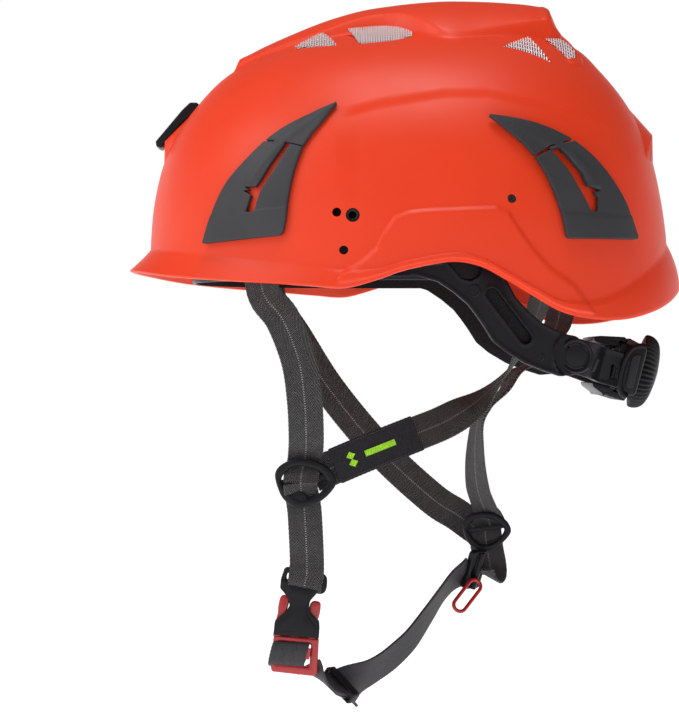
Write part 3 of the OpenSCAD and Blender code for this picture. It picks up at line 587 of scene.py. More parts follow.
# ---------------------------------------------------------------- dome and shell
OVAL = 2.25
DOME_KNOTS = [[-30, -135.8, 141.4, 105.5], [13, -135.6, 140.2, 104.5], [42, -132.8, 136.5, 102],
              [68, -125, 130, 95.5], [90, -110.5, 119, 83.5], [108, -91.5, 105, 67], [121, -62, 91, 47],
              [129, -25, 66, 25], [132, 20, 20, 0]]
APEX = len(DOME_KNOTS) - 1
DOME_ROWS = np.array(DOME_KNOTS, float)
_below = DOME_ROWS[-2]
DOME_ROWS = np.vstack([DOME_ROWS, [_below[0], _below[2], _below[1], -_below[3]]])  # mirrored past the apex
DOME_U = np.linspace(0, APEX, 4001)
DOME_TABLE = curve(DOME_ROWS, DOME_U)


def dome_slice(u):
    """Height, front end, rear end and half width of the dome's oval at u."""
    return np.stack([np.interp(u, DOME_U, DOME_TABLE[:, j]) for j in range(4)], axis=-1)


def dome_u(z):
    """The dome's own parameter at a height."""
    return np.interp(z, np.maximum.accumulate(DOME_TABLE[:, 0]), DOME_U)


def power(c, e):
    """Power that keeps the sign."""
    return np.sign(c) * np.abs(c) ** e


def smooth(x):
    """0 at 0 and 1 at 1, level at both ends."""
    t = np.clip(x, 0, 1)
    return t * t * (3 - 2 * t)


def dome_x(y, z):
    """Half width of the dome at (y, z)."""
    k = dome_slice(dome_u(z))
    q = np.abs((y - (k[..., 1] + k[..., 2]) / 2) / ((k[..., 2] - k[..., 1]) / 2))
    return k[..., 3] * np.maximum(0, 1 - q ** OVAL) ** (1 / OVAL)


def skin(y, z, off):
    """Point at the distance off outside the left side of the dome, seen from the side at (y, z)."""
    y, z = np.asarray(y, float), np.asarray(z, float)
    d = 0.8
    a = np.stack([dome_x(y + d, z) - dome_x(y - d, z), np.full_like(y, 2 * d), np.zeros_like(y)], axis=-1)
    b = np.stack([dome_x(y, z + d) - dome_x(y, z - d), np.zeros_like(y), np.full_like(y, 2 * d)], axis=-1)
    n = np.cross(a, b)
    n /= np.linalg.norm(n, axis=-1, keepdims=True)
    return np.stack([dome_x(y, z), y, z], axis=-1) + n * np.asarray(off)[..., None]


# Brim from brow to nape: azimuth, edge height, crease height, outward flare
RIM = [[0, 2.4, 13.4, 11], [17, 1, 12, 10], [34, -2, 9.8, 8], [50, -4.4, 6.5, 6], [62, -6, 4.2, 4.5],
       [71, -7.6, 2.4, 3.5], [78, -8.6, 0, 2.6], [84, -4.6, 0, 1.6], [88, -0.5, 3.2, 1.2],
       [92, 2.8, 6.2, 1.2], [97, 4.6, 8, 1.2], [102, 2, 5.6, 1.2], [107, -4.4, -0.6, 1.3],
       [113, -12.4, -8.4, 1.4], [120, -20.4, -15.4, 1.8], [129, -24, -15.6, 2.4], [139, -23.6, -9, 3.2],
       [150, -19.6, 0, 4.2], [160, -14.4, 8, 5], [170, -9, 14.6, 5.8], [180, -7, 17, 6]]
# Crown ridge along Y: height of its top, half width, cross radius
RIDGE_TOP = [[-200, 0], [-91, 108.5], [-88, 115.4], [-74, 122.6], [-60.8, 128.5], [-43.5, 135.7],
             [-22.5, 141.9], [2.5, 145.2], [21.8, 146.6], [45.6, 146.2], [60, 145.2], [74, 144],
             [77, 142.4], [81, 133], [84.3, 128.2], [88, 125], [95.4, 116.6], [200, 0]]
RIDGE_HALF = [[-200, 15], [-91, 17], [-75, 19], [-58, 20.5], [-44, 20.5], [-34, 20.5], [-22, 22],
              [-11, 23.5], [-3, 26], [5, 31], [11, 37.5], [18, 46], [30, 44], [42, 38.5], [58, 33.5],
              [72, 28], [81, 24.5], [83.5, 60], [200, 60]]
RIDGE_R = [[-91, 60], [-60, 35], [-44, 30], [-25, 38], [-10, 46], [8, 55], [20, 58], [37, 49.4], [58, 43.8],
           [72, 41.1]]
EAR_TOP = [[-40, -20], [-33, -2], [-24, 3], [-16, 10], [-12, 18], [-7, 25.5], [0, 28.5], [10, 29.5],
           [44, 31], [50, 28.5], [56, 19], [63, 9.5], [72, 0], [84, -8], [100, -30]]
# Shoulder line that divides the lighter crown from the flatter side, along Y
SHOULDER = [[-36, 82], [-14, 88], [1, 90.5], [19, 93.5], [41, 93.8], [73, 87], [107, 75.5], [125, 69]]


def softened(table, low, high):
    """The table at close steps, its corners rounded between low and high."""
    y = np.arange(-200, 200.25, 0.5)
    value = np.interp(y, *np.array(table, float).T)
    kernel = np.hanning(61) / np.hanning(61).sum()
    soft = np.convolve(np.pad(value, 30, mode="edge"), kernel, "valid")
    keep = np.clip((np.abs(y - (low + high) / 2) - (high - low) / 2) / 10, 0, 1)
    return np.column_stack([y, value * keep + soft * (1 - keep)])


RIDGE_TOP = softened(RIDGE_TOP, -75, 65)
RIDGE_HALF = softened(RIDGE_HALF, -80, 62)
RIDGE_R = softened(RIDGE_R, -80, 80)


def lookup(y, table):
    """Table value at y, straight between its rows."""
    t = np.asarray(table, float)
    return np.interp(y, t[:, 0], t[:, 1])


def segment_distance(x, y, points):
    """Distance of (x, y) from a line through points."""
    best = np.full(np.shape(x), 1e9)
    for (ax, ay), (bx, by) in zip(points, points[1:]):
        dx, dy = bx - ax, by - ay
        t = np.clip(((x - ax) * dx + (y - ay) * dy) / (dx * dx + dy * dy), 0, 1)
        best = np.minimum(best, np.hypot(x - ax - t * dx, y - ay - t * dy))
    return best


VENT_LIP = [(23, 82), (25.5, 87.6), (29.5, 90.6), (35, 90.4), (40.5, 86.8)]
SHELL_T = 2.8
HALF_WIDTH, HALF_LENGTH = 104.5, 138  # of the dome, used to thin it evenly
COLS, ROWS, FLARE_ROWS = 360, 220, 12


def shell_grid(inset, cols, rows, flare_rows, details):
    """Outer (inset 0) or inner surface: rows of points from the brim's edge to the apex, closed round."""
    u = np.linspace(0, len(RIM) - 1, cols + 1)
    rim = curve(RIM, u)
    out = []
    for i in range(rows + 1):
        low = i <= flare_rows
        g = min(i / flare_rows, 1.0)
        z = rim[:, 1] + (rim[:, 2] - rim[:, 1]) * g
        us = dome_u(z)
        if not low:
            t = (i - flare_rows) / (rows - flare_rows)
            us = us + (APEX - us) * t
        bead = smooth((1 - g) / 0.28)
        rear = smooth((rim[:, 0] - 125) / 25)
        sweep_out = (1 - rear) * (1 - g) ** 1.15 + rear * (1 - g ** 1.9)
        blend = smooth((rim[:, 3] - 1.6) / 2.0)
        flare = rim[:, 3] * ((1 - blend) * bead + blend * sweep_out) if low else 0.0
        k = dome_slice(us)
        yc, half = (k[:, 1] + k[:, 2]) / 2, (k[:, 2] - k[:, 1]) / 2
        a = np.radians(rim[:, 0])
        x = (k[:, 3] * (1 - inset / HALF_WIDTH) + flare) * power(np.sin(a), 2 / OVAL)
        y = yc + (half * (1 - inset / HALF_LENGTH) + flare) * power(-np.cos(a), 2 / OVAL)
        zz = k[:, 0] - inset * smooth(k[:, 0] / 130)
        if details:
            ear = smooth((lookup(y, EAR_TOP) - zz) / 2.2 + 0.5) * 1.7 * (zz < 60) * smooth((i - 1) / 3)
            below = smooth((lookup(y, SHOULDER) - zz) / 7)
            along = smooth((y + 38) / 14) * smooth((128 - y) / 30)
            ear -= 1.5 * below * along * smooth((zz - 20) / 40)
            x = x + ear * np.abs(np.sin(a)) ** 0.5
            y = y - ear * np.cos(a) * 0.25
        edge = lookup(y, RIDGE_HALF) - 1.8 * inset - np.abs(x)
        r = lookup(y, RIDGE_R)
        top = lookup(y, RIDGE_TOP) - r + np.sqrt(np.maximum(0, r * r - x * x)) - inset
        lift = smooth(edge / (2.6 if details else 4) + 0.5) * np.maximum(0, top - zz)
        zz = zz + np.where(zz > 60, lift, 0)
        if details:
            lip = 0.9 * smooth(1.8 - segment_distance(np.abs(x), y, VENT_LIP) / 1.6) * (zz > 100)
            zz = zz + lip
            y = y + 0.5 * lip
        out.append(np.column_stack([np.maximum(x, 0), y, zz]))
    right = [p[-2:0:-1] * [-1, 1, 1] for p in out]
    return [np.vstack([p, q]) for p, q in zip(out, right)]


def vent_outlines():
    """Plan outlines of the left vents, front to rear."""
    v1 = rounded([(33.5, -58), (45, -35.5), (20.5, -44)], [1, 1, 2])
    v2 = rounded([(23, -31), (24, -22), (25.5, -11), (29, -3), (35.5, 3.5), (42, 3.5), (46.5, -6),
                  (47.5, -12), (47.5, -24)], [1.5, 3, 3, 3, 2, 1, 2, 2, 1])
    v3 = rounded([(49.5, 49), (37.5, 64.5), (51, 76.5)], [0.8, 1.5, 1])
    v4 = rounded([(29.5, 73), (22.5, 82), (25.5, 87.5), (29.5, 90), (35, 89.6), (40.5, 85.5)],
                 [1, 1.5, 2, 2, 2, 1])
    return [v1, v2, v3, v4]


HOLES = [(-28, 27, 3.5), (-36, 28.5, 2.3), (-32.5, 9.5, 2.3), (52, 35.5, 2.3)]


def shell():
    """Moulded shell with its vents and side holes."""
    outer = shell_grid(0.0, COLS, ROWS, FLARE_ROWS, True)
    inner = shell_grid(SHELL_T, COLS, 60, 5, False)
    n = len(outer[0])
    # rounded lip between the outer and the inner edge
    a, b = outer[0], inner[0]
    lip = []
    for k in (1, 2, 3):
        t = math.pi * k / 4
        mid = (a + b) / 2
        lip.append(mid + (a - b) / 2 * math.cos(t) - np.array([0, 0, SHELL_T * 0.42]) * math.sin(t))
    rows = inner[:-1][::-1] + lip[::-1] + outer[:-1]
    points = np.vstack(rows + [inner[-1][:1], outer[-1][:1]])
    m = len(rows)
    faces = [[i * n + j, i * n + (j + 1) % n, (i + 1) * n + (j + 1) % n, (i + 1) * n + j]
             for i in range(m - 1) for j in range(n)]
    tip_in, tip_out = m * n, m * n + 1
    faces += [[(j + 1) % n, j, tip_in] for j in range(n)]
    faces += [[(m - 1) * n + j, (m - 1) * n + (j + 1) % n, tip_out] for j in range(n)]
    obj = piece("shell_moulding", points, faces, "shell", replaces=("shell",), sharp=50)
    cuts = []
    for side in (1, -1):
        for outline in vent_outlines():
            loop = outline if side > 0 else outline[::-1]
            cuts.append(prism(loop, 96, 160, lambda a, b, h, s=side: (s * a, b, h)))
        for y, z, r in HOLES:
            loop = circle(y, z, r, 40)
            cuts.append(prism(loop, 85, 112, lambda a, b, h, s=side: (s * h, a, b)))
    cut(obj, raw("shell_cuts", *join_parts(cuts)))


shell()


def mirror_piece(obj, name, body="root", replaces=()):
    """The same piece on the wearer's right."""
    mesh = obj.data.copy()
    mesh.transform(Matrix.Diagonal((-1, 1, 1, 1)))
    mesh.flip_normals()
    mesh.name = name
    twin = bpy.data.objects.new(name, mesh)
    bpy.context.collection.objects.link(twin)
    if "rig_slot" in obj:
        twin["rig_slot"] = obj["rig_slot"]
    if body:
        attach(twin, body)
    if replaces:
        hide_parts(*replaces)
    return twin


def box_piece(name, low, high, look, place, bevel=0.6, segments=3, **options):
    """A bevelled box between two corners, placed by a function of an array of points."""
    (x0, y0, z0), (x1, y1, z1) = low, high
    corners = np.array([[x, y, z] for z in (z0, z1) for x, y in ((x0, y0), (x1, y0), (x1, y1), (x0, y1))],
                       float)
    return bevelled(piece(name, place(corners), BOX_FACES, look, **options), bevel, segments)


def slab(name, outline, x0, x1, look, place, bevel=0.6, holes=(), segments=3, **options):
    """An outline (y, z) extruded along X, with through holes, bevelled and placed."""
    bm = bmesh.new()
    loops = []
    for k, loop in enumerate([outline, *holes]):
        loop = [(float(p[0]), float(p[1])) for p in loop]
        if (area(loop) > 0) != (k == 0):
            loop = loop[::-1]
        loops.append([bm.verts.new((x1, a, b)) for a, b in loop])
    edges = [bm.edges.new((a, b)) for ring in loops for a, b in zip(ring, ring[1:] + ring[:1])]
    bmesh.ops.triangle_fill(bm, use_beauty=True, edges=edges)
    bmesh.ops.dissolve_limit(bm, angle_limit=0.01, verts=bm.verts[:], edges=bm.edges[:])
    bm.verts.index_update()
    flat = np.array([v.co[:] for v in bm.verts])
    n = len(flat)
    faces = []
    for f in bm.faces:
        ring = [v.index for v in f.verts]
        if area([flat[i][1:] for i in ring]) < 0:
            ring.reverse()
        faces += [ring, [n + i for i in ring[::-1]]]
    open_edges = {}
    for ring in faces[0::2]:
        for i in range(len(ring)):
            a, b = ring[i], ring[(i + 1) % len(ring)]
            open_edges[(a, b)] = True
    for a, b in list(open_edges):
        if (b, a) not in open_edges:
            faces.append([b, a, n + a, n + b])
    bm.free()
    low = flat.copy()
    low[:, 0] = x0
    obj = piece(name, place(np.vstack([flat, low])), faces, look, **options)
    return bevelled(obj, bevel, segments) if bevel else obj


def lathe(name, profile, look, place, n=64, ribs=0, rib_depth=0.0, **options):
    """Turns a profile of (radius, height) about the local Z axis.

    Ribs cut grooves where the profile's third value is 1.
    """
    points, faces = [], []
    m = len(profile)
    for row in profile:
        r, h = row[0], row[1]
        grooved = row[2] if len(row) > 2 else 0
        for k in range(n):
            a = 2 * math.pi * k / n
            wave = abs(math.sin(ribs * a / 2)) ** 1.2 if ribs else 1
            rr = r - grooved * rib_depth * (1 - wave)
            points.append((rr * math.cos(a), rr * math.sin(a), h))
    for i in range(m - 1):
        for k in range(n):
            faces.append([i * n + k, i * n + (k + 1) % n, (i + 1) * n + (k + 1) % n, (i + 1) * n + k])
    faces.append([k for k in range(n)][::-1])
    faces.append([(m - 1) * n + k for k in range(n)])
    return piece(name, place(np.array(points)), faces, look, **options)


def same(points):
    """Placing that leaves points where they are."""
    return points


def on_side(x, y, z):
    """Places a turned piece with its axis along +X."""
    return lambda p: np.column_stack([x + p[:, 2], y + p[:, 0], z + p[:, 1]])


# ---------------------------------------------------------------- vent meshes
def dome_z(x, y):
    """Height of the dome over a plan point, by halving."""
    lo, hi = 0.0, APEX - 0.001
    for _ in range(22):
        mid = (lo + hi) / 2
        k = dome_slice(mid)
        q = abs(x / k[3]) ** OVAL + abs((y - (k[1] + k[2]) / 2) / ((k[2] - k[1]) / 2)) ** OVAL
        lo, hi = (mid, hi) if q < 1 else (lo, mid)
    return float(dome_slice(lo)[0])


def crossings(outline, axis, value):
    """Where a line at a fixed x (axis 0) or y (axis 1) crosses an outline."""
    found = []
    for a, b in zip(outline, list(outline[1:]) + [outline[0]]):
        if (a[axis] - value) * (b[axis] - value) < 0:
            t = (value - a[axis]) / (b[axis] - a[axis])
            found.append(a[1 - axis] + t * (b[1 - axis] - a[1 - axis]))
    return sorted(found)


def vent_mesh(name, outlines, node, depth, rise):
    """Woven wires across the vents, climbing towards the ridge."""
    parts = []
    for outline in outlines:
        outline = inset_loop(outline, -0.5)
        (x0, y0), (x1, y1) = np.min(outline, axis=0), np.max(outline, axis=0)
        for axis, pitch, radius, lift in ((1, 1.3, 0.38, 0.0), (0, 2.6, 0.28, -0.45)):
            for value in np.arange((x0, y0)[axis] + 0.5, (x1, y1)[axis], pitch):
                ends = crossings(outline, axis, value)
                for a, b in zip(ends[::2], ends[1::2]):
                    count = max(2, int((b - a) / 2.5) + 1)
                    line = []
                    for v in np.linspace(a, b, count):
                        x, y = (v, value) if axis == 1 else (value, v)
                        up = rise * float(np.clip((x1 - x) / (x1 - x0), 0, 1))
                        line.append((x, y, dome_z(x, y) - depth + lift + up))
                    side = np.array([0, 1, 0]) if axis == 1 else np.array([1, 0, 0])
                    ring = [(radius * math.cos(q * math.pi / 3), radius * math.sin(q * math.pi / 3))
                            for q in range(6)]
                    verts = np.array([np.array(c) + u * side + np.array([0, 0, w]) for c in line for u,
                                      w in ring])
                    faces = [[i * 6 + j, i * 6 + (j + 1) % 6, (i + 1) * 6 + (j + 1) % 6, (i + 1) * 6 + j]
                             for i in range(count - 1) for j in range(6)]
                    parts.append((verts, faces))
    left = piece(name + "_left", *join_parts(parts), "wire", replaces=(node + "_left",), sharp=80)
    mirror_piece(left, name + "_right", replaces=(node + "_right",))


vent_mesh("front_vent_wires", vent_outlines()[:2], "vent_mesh_front", 1.0, 4.4)
vent_mesh("rear_vent_wires", vent_outlines()[2:], "vent_mesh_rear", 1.0, 3.4)


# ---------------------------------------------------------------- headlamp clips
CLIP_GAP, CLIP_T = 0.45, 2.5
FRONT_TIP_L = [(-35.8, 83.4), (-48, 78.2), (-60.5, 72.2), (-71.5, 64.8)]
FRONT_TIP_R = [(-35.7, 83.3), (-43, 74.2), (-48.3, 67.8), (-52.4, 61.5)]
FRONT_FLAP_L = [(-71.8, 64.4), (-81, 55.5), (-90.3, 44.9), (-95.8, 34.9), (-99.6, 25), (-103, 13.5)]
FRONT_FLAP_R = [(-52.7, 61.05), (-56.5, 50.5), (-58.7, 41.2), (-60.2, 32), (-61, 24), (-62.5, 17)]
FRONT_SLOT_IN = [(-58.6, 62.75), (-62.8, 56.5), (-68.2, 47.8), (-73.7, 38.7), (-76.8, 29)]
FRONT_SLOT_OUT = [(-80.8, 29), (-78.2, 37.2), (-82, 39.6), (-78.8, 40), (-81.8, 41.6), (-75.8, 41.4),
                  (-73.3, 45.1), (-68.2, 53.4), (-61.2, 63.1)]
REAR_TIP_L = [(40.7, 77.0), (49.6, 69.8), (57.6, 63), (63, 56.9)]
REAR_TIP_R = [(40.8, 77.1), (57, 75.2), (71, 71.2), (83, 65.6)]
REAR_FLAP_L = [(63.7, 56.0), (67.7, 49.8), (71.2, 43), (74, 36), (76.8, 27.5), (79.3, 15.5)]
REAR_FLAP_R = [(83.8, 65), (91.3, 59.4), (98.8, 51.9), (105.5, 43), (111.5, 32.5), (117.2, 16)]
REAR_SLOT_IN = [(70.7, 60.8), (74, 57), (80.2, 49.8), (86.5, 39.5), (91.7, 29.6)]
REAR_SLOT_OUT = [(95.3, 29.7), (95.6, 36.4), (93.6, 39.2), (97, 40.2), (93.2, 41.4), (90, 42.4),
                 (87.3, 48.6), (79.9, 57), (74.6, 62.2)]


def along(points, per=4):
    """Smooth line through the points, per steps between two of them."""
    p = curve(points, np.linspace(0, len(points) - 1, per * (len(points) - 1) + 1))
    return [tuple(q) for q in p]


def ridge_on(ridge):
    """Height of a soft ridge along a line."""
    return lambda y, z: 0.5 * smooth((2.6 - segment_distance(y, z, ridge)) / 1.6)


def clip(name, node, tip_l, tip_r, flap_l, flap_r, slot_in, slot_out, neck, ridge, step_line, side):
    """One headlamp clip: a fixed tip and a flap that lifts.

    side is 1 where the slot's hook points to the front, on the front clip, and -1 on the rear clip.
    """
    def height(y, z):
        limit = np.interp(y, *zip(*step_line))
        return ridge_on(ridge)(y, z) + 0.4 * smooth((limit - z) / 0.5 + 0.5)

    def outer(y, z, h):
        return skin(y, z, CLIP_GAP + CLIP_T + height(y, z) + h)

    def inner(y, z):
        return skin(y, z, np.full_like(y, CLIP_GAP))

    def build(part, outline, bodies, replaces):
        left = plate(f"{name}_{part}_left", outline, "clip", outer, inner, edge=0.45, step=1.5,
                     body=bodies[0], replaces=(replaces + "_left",), sharp=30)
        mirror_piece(left, f"{name}_{part}_right", bodies[1], (replaces + "_right",))

    (n0, n1), (m0, m1) = neck  # the neck's ends on the tip's and on the flap's edge
    left_edge, right_edge = along(tip_l), along(tip_r)
    tip = rounded([*left_edge, n0, n1, *right_edge[::-1]], 0.7, 2)
    build("tip", tip, ("root", "root"), f"clip_tip_{node}")
    left_edge = along(flap_l)
    right_edge = along(flap_r)
    right_edge = right_edge[:-4] + right_edge[-1:]
    corner = 3.2
    if side > 0:
        body_loop = [m0, *left_edge, *right_edge[::-1], *along(slot_in), *slot_out, m1]
        radii = [0.4] + [0] * (len(left_edge) - 1) + [0.8] + [corner] + [0] * (len(right_edge) - 1)
    else:
        body_loop = [m0, *left_edge, *right_edge[::-1], m1, *slot_out[::-1], *along(slot_in)[::-1]]
        radii = [0.4] + [0] * (len(left_edge) - 1) + [corner] + [1.5] + [0] * (len(right_edge) - 1)
    radii += [0.35] * (len(body_loop) - len(radii))
    flap = rounded(body_loop, radii, 4)
    build("flap", flap, (f"flap_{node}_left", f"flap_{node}_right"), f"clip_flap_{node}")


def hinge_neck(name, outline, ridge_height, start, end):
    """The thin strip that the flap bends on."""
    def outer(y, z, h):
        return skin(y, z, CLIP_GAP + CLIP_T - 0.12 + ridge_height(y, z) + h)

    left = plate(f"{name}_left", rounded(outline, 0.4, 2), "clip", outer,
                 lambda y, z: skin(y, z, np.full_like(y, CLIP_GAP + 0.1)), edge=0.3, step=1.2, body=None,
                 sharp=30)
    right = mirror_piece(left, f"{name}_right", None)
    for obj, s, flip in ((left, "left", 1), (right, "right", -1)):
        a, b = (np.array(skin(*p, 1.5)) * MM * [flip, 1, 1] for p in (start, end))
        tuple(a)
        tuple(b)
        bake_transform(obj)


FRONT_RIDGE = [(-37, 83.2), (-47, 76.2), (-57, 68.8), (-66, 61), (-73.5, 52), (-79, 43.5)]
REAR_RIDGE = [(43, 77.4), (55, 71.8), (66, 65.8), (78.5, 60.6), (88.5, 51.5), (94.5, 43)]
clip("front_clip", "front", FRONT_TIP_L, FRONT_TIP_R, FRONT_FLAP_L, FRONT_FLAP_R, FRONT_SLOT_IN,
     FRONT_SLOT_OUT, (((-66.8, 64.6), (-59.6, 63.4)), ((-66.8, 64.0), (-61.6, 63.1))), FRONT_RIDGE,
     ((-98, 27.6), (-60, 31.2)), 1)
clip("rear_clip", "rear", REAR_TIP_L, REAR_TIP_R, REAR_FLAP_L, REAR_FLAP_R, REAR_SLOT_IN, REAR_SLOT_OUT,
     (((71.2, 62.2), (77.6, 64.4)), ((75.6, 62.3), (77.8, 63.4))), REAR_RIDGE, ((76, 28.3), (113, 27.6)), -1)


hinge_neck("front_clip_neck", [(-66.9, 66.2), (-60.4, 65.6), (-61.9, 61.9), (-66.9, 62.2)],
           ridge_on(FRONT_RIDGE), (-63.5, 65.2), (-64.2, 62.4))
hinge_neck("rear_clip_neck", [(71.5, 63.6), (77.6, 66.2), (78.2, 61.6), (75.0, 60.8)], ridge_on(REAR_RIDGE),
           (75, 65.0), (76.6, 61.8))

# ---------------------------------------------------------------- brow hook and bushes
HOOK = [(-108, 89), (-110.6, 91.6), (-114.3, 91.6), (-118.5, 87.6), (-132.6, 70.8), (-132.2, 68.2),
        (-130.2, 67.4), (-128.6, 68.6), (-119, 80.2), (-114.6, 84)]
slab("brow_hook", rounded(HOOK, [1, 1.5, 2, 3, 1.2, 1, 1, 1, 3, 2]), -12, 12, "black", same, bevel=0.8,
     replaces=("front_lamp_hook",))


def bush():
    """Turned bush in the large side hole."""
    y, z = HOLES[0][0], HOLES[0][1]
    x = float(dome_x(y, z))
    profile = [(5.4, -7.4), (5.4, -5.2), (3.42, -4.9), (3.42, -0.9), (3.2, -0.55), (2.4, -0.55), (1.9, -0.9),
               (1.9, -7.4)]
    left = lathe("pivot_bush_left", profile, "black", on_side(x, y, z), 48,
                 replaces=("accessory_bush_left",))
    mirror_piece(left, "pivot_bush_right", replaces=("accessory_bush_right",))


bush()

# ---------------------------------------------------------------- headband, suspension and nape arms
HEAD = [(0, -112), (30, -108), (56, -93), (74, -66), (82, -32), (83.5, 0), (81, 30), (75, 56), (67, 76),
        (60.5, 90)]
HEAD_U = np.linspace(0, len(HEAD) - 1, 2001)
HEAD_LINE = curve(HEAD, HEAD_U)
HEAD_ALONG = unit(np.gradient(HEAD_LINE, axis=0))


def head_at(u, z, off):
    """Point of the head curve at its own parameter u, at the distance off outside it."""
    p = np.stack([np.interp(u, HEAD_U, HEAD_LINE[:, k]) for k in (0, 1)], axis=-1)
    t = np.stack([np.interp(u, HEAD_U, HEAD_ALONG[:, k]) for k in (0, 1)], axis=-1)
    off = np.asarray(off, float)
    return np.stack([p[..., 0] + off * t[..., 1], p[..., 1] - off * t[..., 0], np.asarray(z, float)],
                    axis=-1)


def head_y(y, z, off):
    """The same at Y."""
    return head_at(np.interp(y, HEAD_LINE[:, 1], HEAD_U), z, off)


HEAD_LENGTH = lengths(HEAD_LINE)


def head_s(s, z, off):
    """The same by the distance s along the curve from the brow."""
    return head_at(np.interp(s, HEAD_LENGTH, HEAD_U), z, off)


def obround(a, b, r, n=10):
    """Outline of a slot of radius r from a to b."""
    d = math.atan2(b[1] - a[1], b[0] - a[0])
    out = []
    for (x, y), quarter in ((b, -math.pi / 2), (a, math.pi / 2)):
        turns = [d + quarter + math.pi * k / n for k in range(n + 1)]
        out += [(x + r * math.cos(t), y + r * math.sin(t)) for t in turns]
    return out


BAND_T = 1.6
band_end = float(np.interp(6.3, HEAD_U, HEAD_LENGTH))
slot_s = float(np.interp(np.interp(-32.5, HEAD_LINE[:, 1], HEAD_U), HEAD_U, HEAD_LENGTH))
tab_a, tab_b = (float(np.interp(np.interp(v, HEAD_LINE[:, 1], HEAD_U), HEAD_U, HEAD_LENGTH))
                for v in (-42.5, -32.2))
outline = rounded([(0.2, -5), (band_end, -5), (band_end, 22), (tab_b + 5, 22), (tab_b, 24),
                   (tab_b - 0.5, 34), (tab_a, 34), (tab_a - 0.5, 24), (tab_a - 6, 22), (0.2, 22)],
                  [0, 5, 5, 3, 2, 3, 3, 2, 3, 0])
slots = [obround((slot_s - 6, 9.5), (slot_s + 6, 9.5), 4)]
slots += [obround((s - 7, 9.5), (s + 7, 9.5), 2.2) for s in (24, 52, 82, slot_s + 38, slot_s + 62)]
headband = plate("headband_left", outline, "black", lambda a, b, h: head_s(a, b, BAND_T + h),
                 lambda a, b: head_s(a, b, 0), holes=slots, edge=0.4, step=4, replaces=("headband",))
mirror_piece(headband, "headband_right")

CROWN = [(-38, 86.5, -14, 14), (8, 91, 0, 14), (62, 80, 4, 28)]
CROWN_HIGH, KEY_W, KEY_T, KEY_H, KEY_DROP = 101, 20, 5, 9.5, 12
for (y0, half, lean, low), name in zip(CROWN, ("front", "middle", "rear")):
    route = []
    for k in range(25):
        a = math.pi * k / 24
        route.append(((half * math.cos(a), y0 + lean * (1 - math.sin(a)),
                       low + (CROWN_HIGH - low) * math.sin(a)), (0, 1, 0)))
    webbing(f"crown_webbing_{name}", route, replaces=(f"crown_strap_{name}",))
    key = box_piece(f"strap_key_{name}_left", (half - KEY_T / 2, y0 + lean - KEY_W / 2, low - KEY_DROP),
                    (half + KEY_T / 2, y0 + lean + KEY_W / 2, low - KEY_DROP + KEY_H), "black", same, 0.9,
                    replaces=("suspension_keys",))
    mirror_piece(key, f"strap_key_{name}_right")

PIVOT = (86.8, -43.5)
ARM_OFF, ARM_T = 1.8, 2.2
ARM = [(-12, 13), (-12, -3.5), (5.3, -3.2), (15, -6.1), (22.9, -11.5), (29.7, -17.3), (33.5, -22.2),
       (37.4, -27.8), (42.3, -35.7), (49.1, -41.5), (58.8, -47.4), (68.4, -51.2), (77, -54), (86, -53.2),
       (90.5, -46), (91, -39), (87, -33.5), (79.1, -32), (73.3, -29.8), (66.4, -26), (59.8, -20.2),
       (53.9, -13.5), (50.1, -6.4), (48.1, -1.8), (44, 7), (36, 13)]
ARM_LOOP = rounded(ARM, [3, 3] + [6] * 10 + [5, 5, 4, 4, 5] + [6] * 7 + [5, 5])
ARM_WINDOW = rounded([(17, 7), (38.5, 7), (35.8, -2.6), (31.6, -5.4), (27, -4.4)], [2, 3, 2.6, 2.6, 4])
ARM_SLOT = obround((41.8, -12), (58.8, -34.3), 3)


def arm_height(y, z):
    """Raised border, sunken round seat at the pivot and its lip."""
    outline_d = segment_distance(y, z, ARM_LOOP + ARM_LOOP[:1])
    h = 0.25 * smooth((2.2 - outline_d) / 1.2)
    for hole in (ARM_SLOT, ARM_WINDOW):
        h = np.maximum(h, 0.22 * smooth((1.8 - segment_distance(y, z, hole + hole[:1])) / 1.2))
    r = np.hypot(y - PIVOT[0], z - PIVOT[1])
    h = np.maximum(h, 0.6 * smooth((0.9 - np.abs(r - 13.6)) / 0.5) * (y < 86))
    return np.where(r < 13.0, -1.5 * smooth((13.0 - r) / 0.6), h)


arm = plate("nape_arm_plate_left", ARM_LOOP, "black", lambda a, b, h: head_y(a, b,
                                                                             ARM_OFF + ARM_T
                                                                             + arm_height(a, b) + h),
            lambda a, b: head_y(a, b, np.full_like(a, ARM_OFF)), holes=(ARM_WINDOW, ARM_SLOT), edge=0.5,
            step=1.1, replaces=("nape_arm_left",), sharp=30)
mirror_piece(arm, "nape_arm_plate_right", replaces=("nape_arm_right",))


# Black knit sheet just inside the nape arm, behind its window and slot: it paints the shade of the dark
# inside there, so the openings read black.
ARM_SHADE_SHEET = rounded([(12, 9), (41, 9), (45, -4), (50, -12.5), (57, -19.5), (63.5, -25), (63.5, -36),
                  (59, -42.5), (50, -38.6), (43, -32), (37.6, -24), (32, -17.4), (25, -10.5), (16, -5),
                  (12, -3.5)], 2)
shade_sheet = plate("arm_lining_left", ARM_SHADE_SHEET, "pad", lambda a, b, h: head_y(a, b, 1.3 + h),
               lambda a, b: head_y(a, b, np.full_like(a, 0.2)), edge=0.4, step=2.5, sharp=60)
mirror_piece(shade_sheet, "arm_lining_right")


def rivets():
    """Flat studs on the nape arms."""
    for k, (y, z, r) in enumerate(((33.3, -10.5, 3.1), (67.4, -44, 2.1))):
        x = float(head_y(np.array(y), np.array(z), ARM_OFF + ARM_T)[0])
        profile = [(r + 0.35, -0.4), (r + 0.35, 0.15), (r, 0.5), (r * 0.86, 0.52), (r * 0.8, 0.3),
                   (0.01, 0.3)]
        left = lathe(f"arm_stud_{k}_left", profile, "black", on_side(x, y, z), 32, replaces=("arm_rivets",))
        mirror_piece(left, f"arm_stud_{k}_right")


rivets()

# ---------------------------------------------------------------- nape unit
TILT = math.radians(15)


